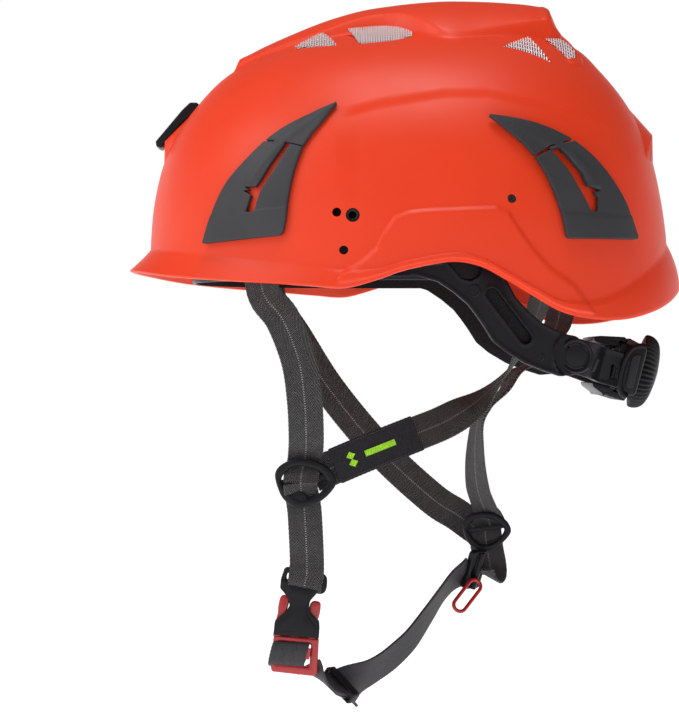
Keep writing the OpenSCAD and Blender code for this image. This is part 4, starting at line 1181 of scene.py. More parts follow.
def nape(points):
    """From the unit's own frame, at the pivots with Y along the bands, to the row frame."""
    p = np.asarray(points, float)
    y = PIVOT[0] + p[:, 1] * math.cos(TILT) + p[:, 2] * math.sin(TILT)
    z = PIVOT[1] - p[:, 1] * math.sin(TILT) + p[:, 2] * math.cos(TILT)
    return np.column_stack([p[:, 0], y, z])


BAND = [(61.6, -9), (61.6, 0), (60.5, 6), (55, 11), (48.5, 14.5), (46, 20), (46, 26), (46, 32)]
BAND_U = np.linspace(0, len(BAND) - 1, 801)
BAND_LINE = curve(BAND, BAND_U)
BAND_ALONG = unit(np.gradient(BAND_LINE, axis=0))


def band_at(y, z, off):
    p = [np.interp(y, BAND_LINE[:, 1], v) for v in (BAND_LINE[:, 0], BAND_LINE[:, 1], BAND_ALONG[:, 0],
                                                    BAND_ALONG[:, 1])]
    flat = np.stack([p[0] + off * p[3], p[1] - off * p[2], z], axis=-1)
    return nape(flat.reshape(-1, 3)).reshape(flat.shape)


def size_band():
    """Curved band from the pivot into the housing, with a raised border and a window."""
    outline = [(3.5, 9.0), (9, 8.9), (14, 8.6), (29, 8), (29, -10), (16, -10), (10, -9.2), (3.5, -9.0)]
    outline += [(9.2 * math.cos(a), 9.2 * math.sin(a)) for a in np.radians(np.arange(250, 110, -10))]
    loop = outline + outline[:1]

    def height(y, z):
        return 0.45 * smooth((1.3 - segment_distance(y, z, loop)) / 0.5) * smooth((y - 9) / 3)

    hole = rounded([(20.6, 1.4), (23.6, 0.9), (24.4, -6.2), (21.2, -6.4)], 0.8)
    left = plate("size_band_plate_left", outline, "black",
                 lambda a, b, h: band_at(a, b, 1 + height(a, b) + h),
                 lambda a, b: band_at(a, b, np.full_like(a, -1)), holes=(hole,), edge=0.35, step=1.6,
                 body="nape_bands", replaces=("size_band_left",), sharp=30)
    mirror_piece(left, "size_band_plate_right", "nape_bands", ("size_band_right",))


size_band()


def nape_disc(x):
    """Places a turned piece at the nape pivot, with its axis along +X."""
    return lambda p: nape(np.column_stack([x + p[:, 2], p[:, 0], p[:, 1]]))


def pivot_disc():
    """Ringed disc at the nape pivot, and behind it a near-black block that paints the shade of the gap
    there.
    """
    profile = [(9.0, -3.4), (9.0, 0.5), (8.7, 1.0), (8.1, 1.1), (7.7, 0.7), (6.9, 0.5), (6.7, -0.6),
               (5.7, -0.6), (5.5, 0.55), (4.6, 0.7), (0.01, 0.75)]
    left = lathe("pivot_disc_left", profile, "black", nape_disc(66.9), 64, body="nape_bands",
                 replaces=("pivot_buttons",))
    mirror_piece(left, "pivot_disc_right", "nape_bands")
    # the groove is bridged above and below, which leaves two C-shaped slots
    for k, a in enumerate((90, 270)):
        arc = np.radians(np.linspace(a - 52, a + 52, 14))
        loop = [(6.9 * math.cos(t), 6.9 * math.sin(t)) for t in arc]
        loop += [(5.5 * math.cos(t), 5.5 * math.sin(t)) for t in arc[::-1]]
        bridge = slab(f"pivot_bridge_{k}_left", loop, 66.5, 67.5, "black", nape, 0.15, body="nape_bands")
        mirror_piece(bridge, f"pivot_bridge_{k}_right", "nape_bands")
    # near-black matte block behind the disc's rim: painted shade of the gap there
    bar = slab("pivot_stop_left", rounded([(10.4, 1.2), (12.2, 1.6), (11.4, -5.4), (9.8, -5.8)], 0.7), 62,
               66.2, "hole", nape, 0.2, body="nape_bands")
    mirror_piece(bar, "pivot_stop_right", "nape_bands")


pivot_disc()


def housing():
    """Nape housing, its cover, lips and end caps."""
    unit = "nape_unit"
    body = rounded([(26, -12), (36.6, -12), (36.6, 13.9), (26, 13.9)], [4, 2.5, 2.5, 4])
    solid = slab("nape_housing_body", body, -48.2, 48.2, "black", nape, 1.2, body=unit,
                 replaces=("nape_housing",))
    # channels that the size bands run in
    channel = [(24, -10.8), (35.4, -10.8), (35.4, 8.8), (24, 8.8)]
    for side in (-1, 1):
        cut(solid, raw("channel", *prism(channel, 44.2, 47.9, lambda a, b, h: nape([(side * h, a, b)])[0])))
    lid = rounded([(23, -11), (26.3, -11), (26.3, 13), (23, 13)], [1.6, 0.3, 0.3, 1.6])
    for s, x0, x1 in (("left", -0.001, 44.2), ("right", -44.2, 0.001)):
        slab(f"nape_cover_{s}", lid, x0, x1, "black", nape, 0.5, body=unit, replaces=("nape_cover",))
    # rounded lip round each end of the housing, open to the rear
    path = along([(35.6, 14.4), (31.6, 13.6), (28.4, 10.6), (26.6, 5), (26.3, -1), (26.9, -7), (28.9, -11.6),
                  (32.4, -13.4)], 5)
    left = tube("housing_lip_left", nape([(48.6, a, b) for a, b in path]), 1.55, "black", n=14, body=unit)
    mirror_piece(left, "housing_lip_right", unit)
    inner = rounded([(29.4, 8.6), (33.8, 10.4), (34.4, -8.6), (30, -8.8)], [4, 3, 3, 4])
    left = slab("housing_end_left", inner, 47, 50.2, "grip", nape, 1.1, body=unit)
    mirror_piece(left, "housing_end_right", unit)
    # top lip with its hook, the brown block behind it and the lower lip
    top = rounded([(9, 12.6), (12, 14.2), (24.6, 16.9), (26.4, 15.8), (25.6, 14.2), (23, 14.4), (22, 13.2),
                   (26, 12.4), (26, 11), (10, 10.6)], [1, 2, 1.2, 0.8, 0.4, 0.5, 0.5, 0.4, 0.4, 1])
    slab("cover_top_lip", top, -36, 36, "black", nape, 0.5, body=unit)
    slab("housing_top_block", rounded([(26.2, 13.5), (26.8, 17), (36, 14.9), (36, 12)], 0.8), -36, 36,
         "brown", nape, 0.4, body=unit)
    low = rounded([(14, -10.5), (15.5, -12.6), (20.5, -14.6), (21.8, -16), (22.6, -13.6), (26, -12),
                   (26, -10)], [1, 1, 1, 0.4, 0.6, 1, 0.5])
    slab("cover_low_lip", low, -36, 36, "black", nape, 0.4, body=unit)
    slab("housing_low_block", rounded([(23.4, -12), (23.8, -15.2), (33.4, -15.6), (33.4, -12)], 1.0), -34,
         34, "grip", nape, 0.5, body=unit)


housing()

AXIS_Z = 2.4


def dial_place(p):
    """From the dial's own frame, Z along its axis, to the row frame."""
    return nape(np.column_stack([p[:, 0], p[:, 2], AXIS_Z + p[:, 1]]))


knob_profile = [(13.5, 38.4), (18.6, 38.6), (19.6, 38.9, 0.6), (20.0, 39.6, 1), (20.0, 41.4, 1),
                (19.6, 43.0, 1), (18.8, 44.6, 1), (17.6, 46.0, 0.9), (16.0, 47.0, 0.6), (14.2, 47.7, 0.1),
                (12, 48.3), (8, 49.0), (4.9, 49.3), (4.7, 48.8), (0.01, 48.8)]
lathe("size_dial", knob_profile, "grip", dial_place, 44 * 8, ribs=44, rib_depth=1.35, body="dial",
      replaces=("knob",), sharp=60)
lathe("dial_screw", [(4.4, 48.4), (4.4, 49.3), (3.9, 49.7), (0.01, 49.8)], "steel", dial_place, 40,
      body="dial", replaces=("knob_screw",))


# ---------------------------------------------------------------- harness
def points_at(*rows):
    """Route rows (x, y, z, width direction) as (centre, direction)."""
    return [((r[0], r[1], r[2]), (r[3], r[4], r[5])) for r in rows]


def two_body(obj, a, b, start, end):
    """Bakes the strap's placement into its mesh."""
    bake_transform(obj)
    return obj


def stitch_rows(name, route, width, across, look="thread", pitch=3.0, long=1.9, thick=0.5, body="root",
                shift=0.9, replaces=()):
    """Raised thread stitches along a route, at offsets across its width."""
    c, w, n = stations(route, pitch)
    t = unit(np.gradient(c, axis=0))
    parts = []
    for a in across:
        for i in range(1, len(c) - 1):
            mid = c[i] + w[i] * a + n[i] * shift
            loop = [(-long / 2, -thick / 2), (long / 2, -thick / 2), (long / 2, thick / 2),
                    (-long / 2, thick / 2)]
            pts = [mid + t[i] * p + w[i] * q + n[i] * h for h in (0, 0.28) for p, q in
                   ([(p * (1 - 1.2 * h), q * (1 - h)) for p, q in loop])]
            parts.append((np.array(pts), BOX_FACES))
    return piece(name, *join_parts(parts), look, body=body, sharp=60)


# anchors inside the shell and the straps that run out of them
FRONT_LEFT = points_at((84.5, -75, 17, 0.42, 1, 0), (84.6, -74.6, 4, 0.4, 1, 0),
                       (84.2, -74.2, -6, 0.35, 1, 0.1), (84, -71.6, -14.5, 0.3, 1, 0.25),
                       (84, -63.2, -25.3, 0.1, 0.85, 0.5), (81.5, -55.4, -45.6, 0, 1, 0.3),
                       (78, -52.4, -65.9, 0, 1, 0.1), (73.0, -51.6, -84, 0, 1, 0),
                       (66.6, -52.0, -93.5, 0, 1, -0.05), (64.9, -52.6, -98.5, 0, 1, -0.05),
                       (68.2, -53.8, -103.0, -0.12, 1, 0.12), (71.6, -54.6, -108.5, -0.1, 1, 0.3))
strap = webbing("front_webbing_left", FRONT_LEFT, body=None,
                replaces=("front_strap_left", "front_anchor_left"))
two_body(strap, "root", "slider_left", (84, -68, -18), (72.0, -51.8, -88))
LOWER_LEFT = points_at((71.6, -54.6, -108.4, -0.1, 1, 0.3), (69.4, -54.2, -113.2, -0.1, 1, 0.18),
                       (65.4, -53.2, -118.6, 0, 1, 0.05), (65.2, -52.5, -124.2, 0, 1, 0),
                       (64, -51.8, -137, 0, 1, 0), (62.5, -51.4, -148, 0, 1, -0.1),
                       (63.6, -51.4, -155.5, 0, 1, -0.18), (64.6, -52.4, -160.4, 0, 1, -0.19),
                       (62.6, -52.9, -163.6, 0, 1, -0.19), (59.4, -53.2, -163.8, 0, 1, -0.19))
strap = webbing("lower_webbing_left", LOWER_LEFT, body=None, width=17.6, replaces=("lower_strap_left",))
two_body(strap, "slider_left", "root", (65.2, -52.5, -124.5), (62.9, -51.4, -147))
# the end that is sewn back above the buckle
webbing("lower_webbing_end", points_at((57.4, -53.2, -163.6, 0, 1, -0.19), (57.6, -52.2, -157, 0, 1, -0.15),
                                       (60.4, -51.4, -148, 0, 1, -0.1)), width=17.2, body="root")
REAR_LEFT = points_at((74, 80.6, 12, -0.6, 1, 0), (71, 78, 4, -0.6, 1, 0), (64, 71.5, -7, -0.6, 1, 0.3),
                      (48, 66, -26, -0.9, 0.6, 0.1), (28, 59, -44.6, -1, 0.2, 0),
                      (18, 50.5, -57, -1, 0, 0.15), (18, 39, -67.5, -0.85, -0.2, 0.6),
                      (31, 22, -77.5, -0.25, -0.4, 0.95), (48, 5, -84, -0.1, -0.36, 1),
                      (57, -15, -91.5, 0, -0.38, 1), (63.4, -35.5, -99.8, 0, -0.4, 1),
                      (64.0, -41, -101.9, 0, -0.4, 1), (63.4, -48, -104.6, 0, -0.4, 1))
strap = webbing("rear_webbing_left", REAR_LEFT, body=None, replaces=("rear_strap_left", "rear_anchor_left"))
two_body(strap, "root", "slider_left", (20, 30, -73), (56.5, -13, -91))
LABEL = points_at((51.0, 5.4, -83.6, 0.1, 0.36, -1), (56.9, -9, -89, 0, 0.38, -1),
                  (61.9, -22, -94, 0, 0.38, -1), (65.6, -37.0, -100.2, 0, 0.4, -1))
LABEL_W = 19.0


def label_patch():
    """Woven patch round the strap, with a double border and a plain mark: a bar and two rhombs."""
    obj = webbing("label_patch_cloth", LABEL, look="label", width=LABEL_W, thick=1.0, shift=0.85, body=None,
                  replaces=("label_patch",))
    ends = ((20, 30, -73), (56.5, -13, -91))
    two_body(obj, "root", "slider_left", *ends)
    rows = stitch_rows("label_stitching", LABEL, LABEL_W, (-8.4, 8.4), pitch=1.5, long=1.0, thick=0.35,
                       shift=1.33, body=None)
    two_body(rows, "root", "slider_left", *ends)
    c, w, n = stations(LABEL, 0.6)
    t = unit(np.gradient(c, axis=0))
    length = lengths(c)

    def on(s, a, h):
        base = [np.interp(s, length, c[:, k]) for k in range(3)]
        side = [np.interp(s, length, w[:, k]) for k in range(3)]
        up = [np.interp(s, length, n[:, k]) for k in range(3)]
        return np.array(base) + a * np.array(side) + h * np.array(up)

    shapes = [[(13.4, -1.5), (31.0, -1.5), (31.0, 1.6), (13.4, 1.6)]]
    for s, a in ((38.4, -1.9), (38.4, 2.1)):
        shapes.append([(s - 2.5, a), (s, a - 2.1), (s + 2.5, a), (s, a + 2.1)])
    parts = []
    for shape in shapes:
        fine = resample(shape, 0.7)
        k = len(fine)
        pts = [on(s, a, h) for h in (1.3, 1.62) for s, a in fine]
        faces = [list(range(k, 2 * k)), list(range(k))[::-1]]
        faces += [[j, (j + 1) % k, k + (j + 1) % k, k + j] for j in range(k)]
        parts.append((np.array(pts), faces))
    mark = piece("label_mark", *join_parts(parts), "green", body=None, sharp=30)
    two_body(mark, "root", "slider_left", *ends)


label_patch()

FRONT_RIGHT = points_at((-84.5, -75, 17, -0.42, 1, 0), (-84.6, -74.6, 4, -0.4, 1, 0),
                        (-84.0, -74.0, -7, -0.35, 1, 0.1), (-83.6, -71.4, -14.5, -0.3, 1, 0.25),
                        (-81, -60, -31, 0, 0.8, 0.5), (-73, -39.9, -62.5, 0, 0.8, 0.6),
                        (-64, -11.8, -96.2, 0, 0.75, 0.65), (-55, 16.2, -122, 0, 0.7, 0.7),
                        (-52.6, 30.5, -131.4, 0, 0.6, 0.8), (-53.0, 38.5, -137.2, 0, 0.6, 0.8),
                        (-51.6, 43.5, -140.6, 0, 0.6, 0.8))
strap = webbing("front_webbing_right", FRONT_RIGHT, body=None,
                replaces=("front_strap_right", "front_anchor_right"))
two_body(strap, "root", "slider_right", (-75, -45, -55), (-56.5, 12, -118))
REAR_RIGHT = points_at((-76, 94, 16, 0.7, 1, 0), (-69, 92, 4, 0.7, 1, 0), (-61, 89.8, -8.5, 0.65, 1, 0),
                       (-54, 86, -28, 0.8, 1, 0), (-30, 72, -44, 1, 0.3, 0.2), (-12, 61, -52, 1, 0.1, -0.2),
                       (-3, 54, -62, 1, 0.2, 0), (-3, 45.5, -70, 1, 0.2, 0), (-7, 40.5, -80, 1, 0.25, 0),
                       (-20, 39.6, -98, 0.9, 0.4, 0), (-34, 41.4, -115, 0.8, 0.58, 0),
                       (-43.5, 45, -125.5, 0.7, 0.7, 0), (-46.6, 47.8, -132.5, 0.4, 0.9, 0),
                       (-49.4, 49.2, -138, 0, 1, 0))
strap = webbing("rear_webbing_right", REAR_RIGHT, body=None,
                replaces=("rear_strap_right", "rear_anchor_right"))
two_body(strap, "root", "slider_right", (-7, 40.5, -80), (-33, 41.2, -114))
LOWER_RIGHT = points_at((-47.6, 46.0, -138.5, 0, 1, 0.1), (-45.2, 46.2, -143.5, 0, 1, 0.1),
                        (-46.4, 47.2, -150.5, 0.05, 1, 0.15), (-44.6, 48.6, -158.5, 0.1, 1, 0.1),
                        (-40.4, 48.6, -163.4, 0.2, 1, -0.35), (-36.6, 46.4, -163.8, 0.3, 1, -0.5),
                        (-34.9, 43.6, -160.8, 0.4, 1, -0.55))
strap = webbing("lower_webbing_right", LOWER_RIGHT, body=None, replaces=("lower_strap_right",))
two_body(strap, "slider_right", "root", (-46.4, 47, -147.5), (-43.6, 48.6, -160))
stitch_rows("hem_stitching", FRONT_LEFT[3:5], 18, (-6, -2, 2, 6), pitch=2.0, long=1.2, shift=0.85,
            body="root")

# sliders: a bent ring with a bar across it
RING_OUT = [(-67.6, -106), (-66.2, -100.9), (-60.7, -97.2), (-53.4, -96.1), (-46.1, -97.2), (-39.5, -101.6),
            (-36.5, -106.7), (-37.3, -111.1), (-43.9, -117.7), (-53.4, -121.3), (-58.5, -120.6),
            (-64.3, -115.5)]
RING_IN = [(-64.2, -106), (-60.6, -101.5), (-54.6, -99.7), (-46.6, -101.8), (-41.5, -106), (-41.1, -109.2),
           (-45.6, -114.4), (-50.4, -116.9), (-56.4, -117.0), (-61.0, -112.8), (-63.4, -109.4)]
RING_BAR = rounded([(-65.4, -107.2), (-39.2, -104.0), (-39.0, -106.4), (-65.2, -110.0)], 0.5)
RING_MIDDLE = (-52.1, -108.7)


def slider_ring(name, x, middle, scale, body):
    """A slider centred at (y, z) = middle, at X, its shape scaled from the near one and bowed outward."""
    def place(p):
        q = (p[:, 1:] - np.array(RING_MIDDLE)) * scale
        bow = 0.010 * q[:, 0] ** 2 - 1.2
        return np.column_stack([x + p[:, 0] - bow, middle[0] + q[:, 0], middle[1] + q[:, 1]])
    slab(name, smooth_loop(RING_OUT), -1.9, 1.9, "black", place, 1.1, holes=(smooth_loop(RING_IN),),
         body=body, replaces=(body,))
    slab(name + "_bar", RING_BAR, -2.4, 0.6, "black", place, 0.6, body=body)


slider_ring("slider_ring_left", 68.6, RING_MIDDLE, 1.0, "slider_left")
lathe("slider_boss_left", [(4.3, -1.6), (4.3, 1.2), (3.9, 1.7), (3.3, 1.75), (3.1, 1.5), (2.4, 1.5),
                           (2.2, 1.8), (1.3, 1.8), (1.1, 1.5), (0.01, 1.5)], "black",
      on_side(69.4, -55.4, -117.0), 40, body="slider_left")
slider_ring("slider_ring_right", -44.0, (46.6, -140.2), 0.86, "slider_right")

# ---------------------------------------------------------------- buckle
LEAN = math.radians(10.8)
BUCKLE = (60.0, -54.9, -172.5)


def buckle(points):
    """From the buckle's own frame, Z up along the strap and X through its thickness."""
    p = np.asarray(points, float)
    y = BUCKLE[1] + p[:, 1] * math.cos(LEAN) + p[:, 2] * math.sin(LEAN)
    z = BUCKLE[2] - p[:, 1] * math.sin(LEAN) + p[:, 2] * math.cos(LEAN)
    return np.column_stack([BUCKLE[0] + p[:, 0], y, z])


SOCKET = [(-10.2, 12.0), (-12.3, 11.6), (-11.9, 7.6), (-8.6, 4.9), (-6.3, 2.2), (-5.3, -0.7), (-6.5, -3.8),
          (-10.1, -7.3), (-11.4, -10), (-10.8, -16.6), (12.6, -14.2), (12.0, -9.2), (11.2, -5.9), (8.9, -4),
          (5.6, -2), (4.5, 1), (4.6, 4.1), (6.4, 7), (7.7, 9.3), (7.2, 11.4)]
socket = slab("buckle_socket", rounded(SOCKET, [1, 1, 1.5, 3, 3, 3, 3, 2.5, 2, 0.6, 0.6, 2, 1.5, 3, 3, 3, 3,
                                                2.5, 1, 1]), -4.5, 4.5, "black", buckle, 1.25, segments=4,
              replaces=("buckle_body",))
CAVITY = [(-2.6, -11.1), (2.6, -11.1), (2.6, 11.1), (-2.6, 11.1)]
cut(socket, raw("socket_cavity", *prism(CAVITY, -24.0, 4.2, lambda a, b, h: buckle([(a, b, h)])[0])))
# the raised panel on its face, and the frame that the strap is threaded through
PANEL = rounded([(-8.0, 9.6), (-4.4, 4.6), (-3.6, 0), (-5.0, -5.2), (-8.6, -9.6), (-8.3, -13.6),
                 (9.8, -11.9), (9.4, -8.4), (4.4, -3.6), (2.6, 0.6), (3.2, 4.8), (5.4, 9.6)],
                [1, 3, 4, 4, 2, 1, 1, 2, 4, 3, 3, 1])
slab("buckle_panel", PANEL, 4.1, 4.95, "black", buckle, 0.45)
EAR = smooth_loop([(-11.9, 15.4), (-11.2, 18.0), (-8, 18.8), (5.3, 18.2), (8.6, 18.6), (11.0, 16.6),
                   (11.6, 11.2), (10.0, 8.6), (7.2, 8.4), (-1, 9.4), (-10.5, 9.2), (-12.3, 11)])
EAR_HOLE = rounded([(-9.6, 16.0), (-9.6, 12.4), (8.0, 12.0), (8.4, 15.6)], 1.0)
slab("buckle_top_frame", EAR, -3.0, 2.6, "black", buckle, 0.9, holes=(EAR_HOLE,))

FRAME_OUT = rounded([(-10.6, -16.9), (12.7, -14.4), (15.2, -32.4), (12.6, -34.0), (-8.0, -35.6),
                     (-9.0, -33.6)], [1.2, 1.2, 2.2, 2, 2.6, 2])
FRAME_IN = rounded([(-8.0, -19.4), (9.2, -17.7), (10.4, -29.6), (-6.8, -31.4)], 1.4)
slab("insert_frame", FRAME_OUT, -2.3, 2.5, "red", buckle, 0.9, holes=(FRAME_IN,), body="insert",
     replaces=("buckle_insert",))
slab("insert_tongue", rounded([(-2.4, -17.6), (2.4, -17.4), (2.2, 3.2), (-2.2, 3.2)], 1), -1.8, 1.8, "red",
     buckle, 0.5, body="insert")
slab("insert_bar", rounded([(-9.4, -24.2), (11.2, -22.0), (11.4, -24.4), (-9.2, -26.6)], 0.5), -1.4, 1.0,
     "red", buckle, 0.5, body="insert")
slab("insert_stop", rounded([(5.4, -20.3), (9.6, -19.9), (9.7, -25.6), (5.8, -26.2)], 0.7), 2.2, 5.9, "red",
     buckle, 0.5, body="insert")
PRONG_L = [(-10.7, -17.6), (-7.0, -17.6), (-7.4, -9), (-6.6, -5.0), (-6.0, -0.8), (-6.2, 2.4), (-7.8, 4.1),
           (-9.6, 4.1), (-10.9, 2.6), (-11.1, -1.8), (-10.7, -5.4), (-10.9, -9)]
PRONG_R = [(10.6, -17.4), (7.0, -17.4), (7.2, -9), (6.2, -5.0), (4.9, -0.8), (5.0, 2.4), (6.6, 4.1),
           (9.0, 4.1), (10.3, 3.0), (10.7, -1.4), (10.4, -5.0), (10.8, -9)]
slab("prong_wing_front", smooth_loop(PRONG_L, 4), -2.2, 2.2, "red", buckle, 0.7, body="prong_front",
     replaces=("buckle_prong_front",))
slab("prong_wing_rear", smooth_loop(PRONG_R, 4), -2.2, 2.2, "red", buckle, 0.7, body="prong_rear",
     replaces=("buckle_prong_rear",))

# chin strap: looped round the insert's bar, through the keeper, to the adjuster
loop_local = [(-4.2, -1.2, -27.6), (-4.4, -1.0, -22.8), (0.2, -0.8, -19.2), (4.6, -1.0, -20.6),
              (5.6, -1.4, -24.6), (4.4, -1.6, -29.4), (0.4, -1.4, -31.2), (-3.2, -0.6, -31.8)]
loop_world = buckle(loop_local)
side = buckle([(0, 1, 0)])[0] - buckle([(0, 0, 0)])[0]
lean = buckle([(0, 0, 0.12)])[0] - buckle([(0, 0, 0)])[0]
webbing("insert_webbing", [(tuple(p), tuple(side + lean)) for p in loop_world], look="chin", width=18.6,
        thick=1.3, spacing=0.9, body="insert")
CHIN = points_at((57.8, -51.6, -203.4, 0.1, 1, -0.2), (55.4, -47.6, -208.0, 0.3, 0.85, -0.4),
                 (50.8, -42.2, -212.4, 0.45, 0.7, -0.55), (42.6, -35.4, -214.8, 0.5, 0.62, -0.62),
                 (35, -29.0, -214.4, -0.2, 0.45, -0.87), (26, -22.0, -212.4, -0.6, 0.15, -0.78),
                 (15, -14, -209, -0.72, 0.15, -0.67), (2, -4.3, -203.2, -0.75, 0.25, -0.6),
                 (-8, 4.5, -195.6, -0.8, 0.28, -0.52), (-18, 13.5, -184.1, -0.88, 0.26, -0.38),
                 (-25, 21.5, -173, -0.92, 0.24, -0.28), (-29.5, 28.5, -165.5, -0.85, 0.3, -0.42),
                 (-33.4, 36.6, -161.2, -0.6, 0.5, -0.6))
strap = webbing("chin_webbing", CHIN, look="chin", body=None, replaces=("chin_strap",))
two_body(strap, "root", "insert", (28, -23.5, -213), (52, -42, -211))
CHIN_TAIL = points_at((47.4, -40.6, -214.6, 0.45, 0.7, -0.55), (41.8, -36.0, -216.8, 0.5, 0.64, -0.6),
                      (37.2, -32.6, -219.4, 0.5, 0.64, -0.6), (32.6, -29.6, -223.0, 0.5, 0.64, -0.6))
webbing("chin_webbing_end", CHIN_TAIL, look="chin", width=16.5, thick=1.5, body="keeper")


KEEPER_TILT = -52


def rotation(rx, ry, rz):
    return np.array((Matrix.Rotation(math.radians(rz), 3, "Z") @ Matrix.Rotation(math.radians(ry), 3, "Y")
                     @ Matrix.Rotation(math.radians(rx), 3, "X")))


def keeper():
    """Moulded loop round both layers of the strap."""
    a = math.radians(142)
    at = np.array([41.4, -33.9, -215.2])

    def turned(p):
        q = np.asarray(p, float) @ rotation(KEEPER_TILT, 0, 0).T
        return np.column_stack([at[0] + q[:, 0] * math.cos(a) - q[:, 1] * math.sin(a),
                                at[1] + q[:, 0] * math.sin(a) + q[:, 1] * math.cos(a), at[2] + q[:, 2]])
    outer = rounded([(-3.4, -11.2), (3.4, -11.2), (3.4, 11.2), (-3.4, 11.2)], 1.6)
    inner = rounded([(-2.0, -9.9), (2.0, -9.9), (2.0, 9.9), (-2.0, 9.9)], 0.8)
    slab("keeper_loop", outer, -3.0, 3.0, "black", turned, 0.6, holes=(inner,), body="keeper",
         replaces=("strap_keeper",))


keeper()


def adjuster(points):
    return np.array([-35.0, 39.5, -160.5]) + np.asarray(points, float) @ rotation(0, 20, 48).T


outer = rounded([(-6.5, -11), (6.5, -11), (6.5, 11), (-6.5, 11)], 2.4)
gaps = [rounded([(a, -9), (a + 3.0, -9), (a + 3.0, 9), (a, 9)], 0.8) for a in (-4.5, 1.4)]
slab("adjuster_plate", outer, -1.9, 1.9, "black", adjuster, 0.7, holes=gaps, replaces=("chin_adjuster",))
lathe("adjuster_roll", [(1.5, -10.6), (1.75, -10.2), (1.75, 10.2), (1.5, 10.6)], "black",
      lambda p: adjuster(np.column_stack([p[:, 0] + 2.4, p[:, 1], p[:, 2]])), 20)


def even_ring(points, step=1.1):
    """The closed ring at even steps."""
    p = np.vstack([points, points[:1]])
    length = lengths(p)
    s = np.linspace(0, length[-1], int(length[-1] / step), endpoint=False)
    return np.column_stack([np.interp(s, length, p[:, k]) for k in range(3)])


def pull_ring():
    long = np.array([-0.4, 0.59, 0.7])
    long /= np.linalg.norm(long)
    face = np.array([0.907, 0.3, 0.264])
    face -= np.dot(face, long) * long
    face /= np.linalg.norm(face)
    wide = np.cross(long, face)
    at = np.array([-26.8, 35.2, -174.3])
    path = []
    for a in np.radians(np.arange(0, 360, 12)):
        half = 7.0 if math.sin(a) > 0 else -7.0
        path.append(at + wide * 3.6 * math.cos(a) + long * (3.6 * math.sin(a) + half))
    tube("pull_ring", even_ring(path), 1.05, "red", closed=True, n=14, up=tuple(face), body="ring",
         replaces=("adjuster_ring",))


pull_ring()


# ---------------------------------------------------------------- pads
def stuffed(obj, final, body, replaces, cap=0.0016, voxel=0.0045):
    """Inflates a copy of a simple solid as cloth, holding each point near where it was."""
    mesh = obj.data.copy()
    work = bpy.data.objects.new(final, mesh)
    bpy.context.collection.objects.link(work)
    remesh = work.modifiers.new("remesh", "REMESH")
    remesh.mode = "VOXEL"
    remesh.voxel_size = voxel
    deps = bpy.context.evaluated_depsgraph_get()
    work.data = bpy.data.meshes.new_from_object(work.evaluated_get(deps))
    work.modifiers.clear()
    rest = np.array([v.co[:] for v in work.data.vertices])
    cloth = work.modifiers.new("cloth", "CLOTH")
    cloth.settings.use_pressure = True
    cloth.settings.uniform_pressure_force = 4
    cloth.settings.effector_weights.gravity = 0
    scene = bpy.context.scene
    for frame in range(1, 21):
        scene.frame_set(frame)
    deps = bpy.context.evaluated_depsgraph_get()
    moved = np.array([v.co[:] for v in work.evaluated_get(deps).data.vertices])
    work.modifiers.clear()
    scene.frame_set(1)
    delta = moved - rest
    size = np.linalg.norm(delta, axis=1, keepdims=True)
    delta *= np.minimum(1, cap / np.maximum(size, 1e-9))
    work.data.vertices.foreach_set("co", (rest + delta).ravel())
    fine = work.modifiers.new("subdivision", "SUBSURF")
    fine.levels = fine.render_levels = 1
    bake(work, 80)
    bpy.data.objects.remove(obj)
    dress(work, "pad", body, replaces)
    return work


def pads():
    brow_end = float(np.interp(3, HEAD_U, HEAD_LENGTH))
    outline = rounded([(-brow_end, -3.4), (brow_end, -3.4), (brow_end, 23.4), (-brow_end, 23.4)], 6)

    def wall_at(a, b, off):
        p = head_s(np.abs(a), b, off)
        p[..., 0] = np.where(np.asarray(a) < 0, -p[..., 0], p[..., 0])
        return p
    solid = plate("brow_pad_form", outline, "pad", lambda a, b, h: wall_at(a, b, -0.9 + h),
                  lambda a, b: wall_at(a, b, np.full_like(a, -4.2)), edge=0.8, step=4, body=None)
    stuffed(solid, "brow_pad_knit", "root", ("brow_pad",), cap=0.0008)
    solid = box_piece("nape_pad_form", (-33, 16.9, -10.6), (33, 22.2, 12.6), "pad", nape, 1.6, body=None)
    stuffed(solid, "nape_pad_knit", "nape_unit", ("nape_pad",), cap=0.0008)


pads()
for node, look in (("pinion", "gear"), ("rack_left", "gear"), ("rack_right", "gear")):
    for obj in [o for o in bpy.data.objects
                if o.type == "MESH" and (o.name == node or o.name.startswith(node + "."))]:
        obj.data.materials.clear()
        obj.data.materials.append(MATS[look])


# ---------------------------------------------------------------- stage, light and camera
FLOOR_GLOW, OVERHEAD_DIM, REAR_DIM = 0.84, 0.16, 0.45
KEY_AT, KEY_WATTS = (0.8, -1.3, 1.2), 11
TOP_AT, TOP_WATTS = (0.4, 0.0, 1.6), 12
EYE, LENS, SENSOR = (1.5, -0.0346, -0.0456), 139.7, 36


def stage():
    """Pale floor whose own faint glow keeps it near white under soft light."""
    size = 6.0
    floor_z = CAD_BOX[0][2] - 0.012
    mesh = bpy.data.meshes.new("floor")
    mesh.from_pydata([(-size, -size, floor_z), (size, -size, floor_z), (size, size, floor_z),
                      (-size, size, floor_z)], [], [(0, 1, 2, 3)])
    floor = bpy.data.objects.new("floor", mesh)
    bpy.context.collection.objects.link(floor)
    s = Shader("floor_paint", (0.8, 0.8, 0.8), 0.9, Emission_Color=(1, 1, 1, 1),
               Emission_Strength=FLOOR_GLOW)
    s.bump(s.noise(30, 2), 0.0002)
    floor.data.materials.append(s.mat)


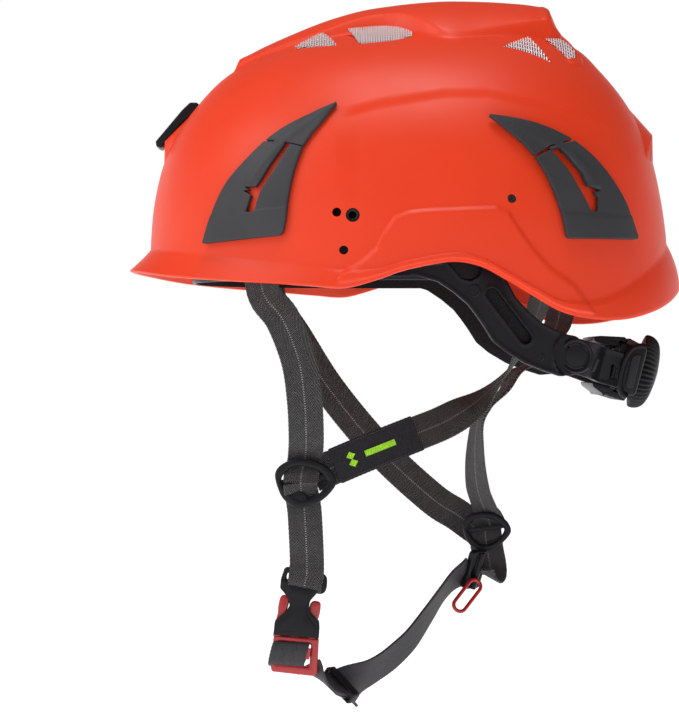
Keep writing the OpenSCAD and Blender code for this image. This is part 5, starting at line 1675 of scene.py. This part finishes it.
def sky():
    """Bright round the horizon, dimmer overhead and towards the rear."""
    world = bpy.data.worlds.new("studio")
    bpy.context.scene.world = world
    world.use_nodes = True
    tree = world.node_tree
    out = tree.nodes["Background"]
    where = tree.nodes.new("ShaderNodeTexCoord")
    split = tree.nodes.new("ShaderNodeSeparateXYZ")
    tree.links.new(where.outputs["Generated"], split.inputs[0])
    ramp = tree.nodes.new("ShaderNodeMapRange")
    ramp.interpolation_type = "SMOOTHSTEP"
    ramp.inputs["From Min"].default_value = 0.16
    ramp.inputs["From Max"].default_value = 0.42
    ramp.inputs["To Min"].default_value = 1.0
    ramp.inputs["To Max"].default_value = OVERHEAD_DIM
    tree.links.new(split.outputs["Z"], ramp.inputs["Value"])
    rear = tree.nodes.new("ShaderNodeMapRange")
    rear.interpolation_type = "SMOOTHSTEP"
    rear.inputs["From Min"].default_value = -0.1
    rear.inputs["From Max"].default_value = 0.8
    rear.inputs["To Min"].default_value = 1.0
    rear.inputs["To Max"].default_value = REAR_DIM
    turn = tree.nodes.new("ShaderNodeVectorMath")
    turn.operation = "DOT_PRODUCT"
    turn.inputs[1].default_value = (0.55, 0.83, 0)
    tree.links.new(where.outputs["Generated"], turn.inputs[0])
    tree.links.new(turn.outputs["Value"], rear.inputs["Value"])
    both = tree.nodes.new("ShaderNodeMath")
    both.operation = "MULTIPLY"
    tree.links.new(ramp.outputs["Result"], both.inputs[0])
    tree.links.new(rear.outputs["Result"], both.inputs[1])
    tree.links.new(both.outputs[0], out.inputs["Strength"])
    out.inputs["Color"].default_value = (1, 1, 1, 1)


def area_light(name, place, target, size, energy):
    light = bpy.data.lights.new(name, "AREA")
    light.shape = "RECTANGLE"
    light.size, light.size_y = size
    light.energy = energy
    obj = bpy.data.objects.new(name, light)
    obj.location = place
    obj.rotation_euler = (Vector(target) - Vector(place)).to_track_quat("-Z", "Y").to_euler()
    bpy.context.collection.objects.link(obj)


def lights():
    sky()
    area_light("key", KEY_AT, (0, -0.02, 0.04), (0.9, 0.9), KEY_WATTS)
    area_light("top", TOP_AT, (0, 0, 0.05), (0.7, 0.7), TOP_WATTS)


def camera():
    """Level, square on to the wearer's left side, 1.5 m away."""
    data = bpy.data.cameras.new("camera")
    data.sensor_width = SENSOR
    data.lens = LENS
    obj = bpy.data.objects.new("camera", data)
    obj.location = EYE
    obj.rotation_euler = (math.radians(90), 0, math.radians(90))
    bpy.context.collection.objects.link(obj)
    bpy.context.scene.camera = obj


stage()
lights()
camera()
bpy.context.scene.view_settings.view_transform = "Standard"
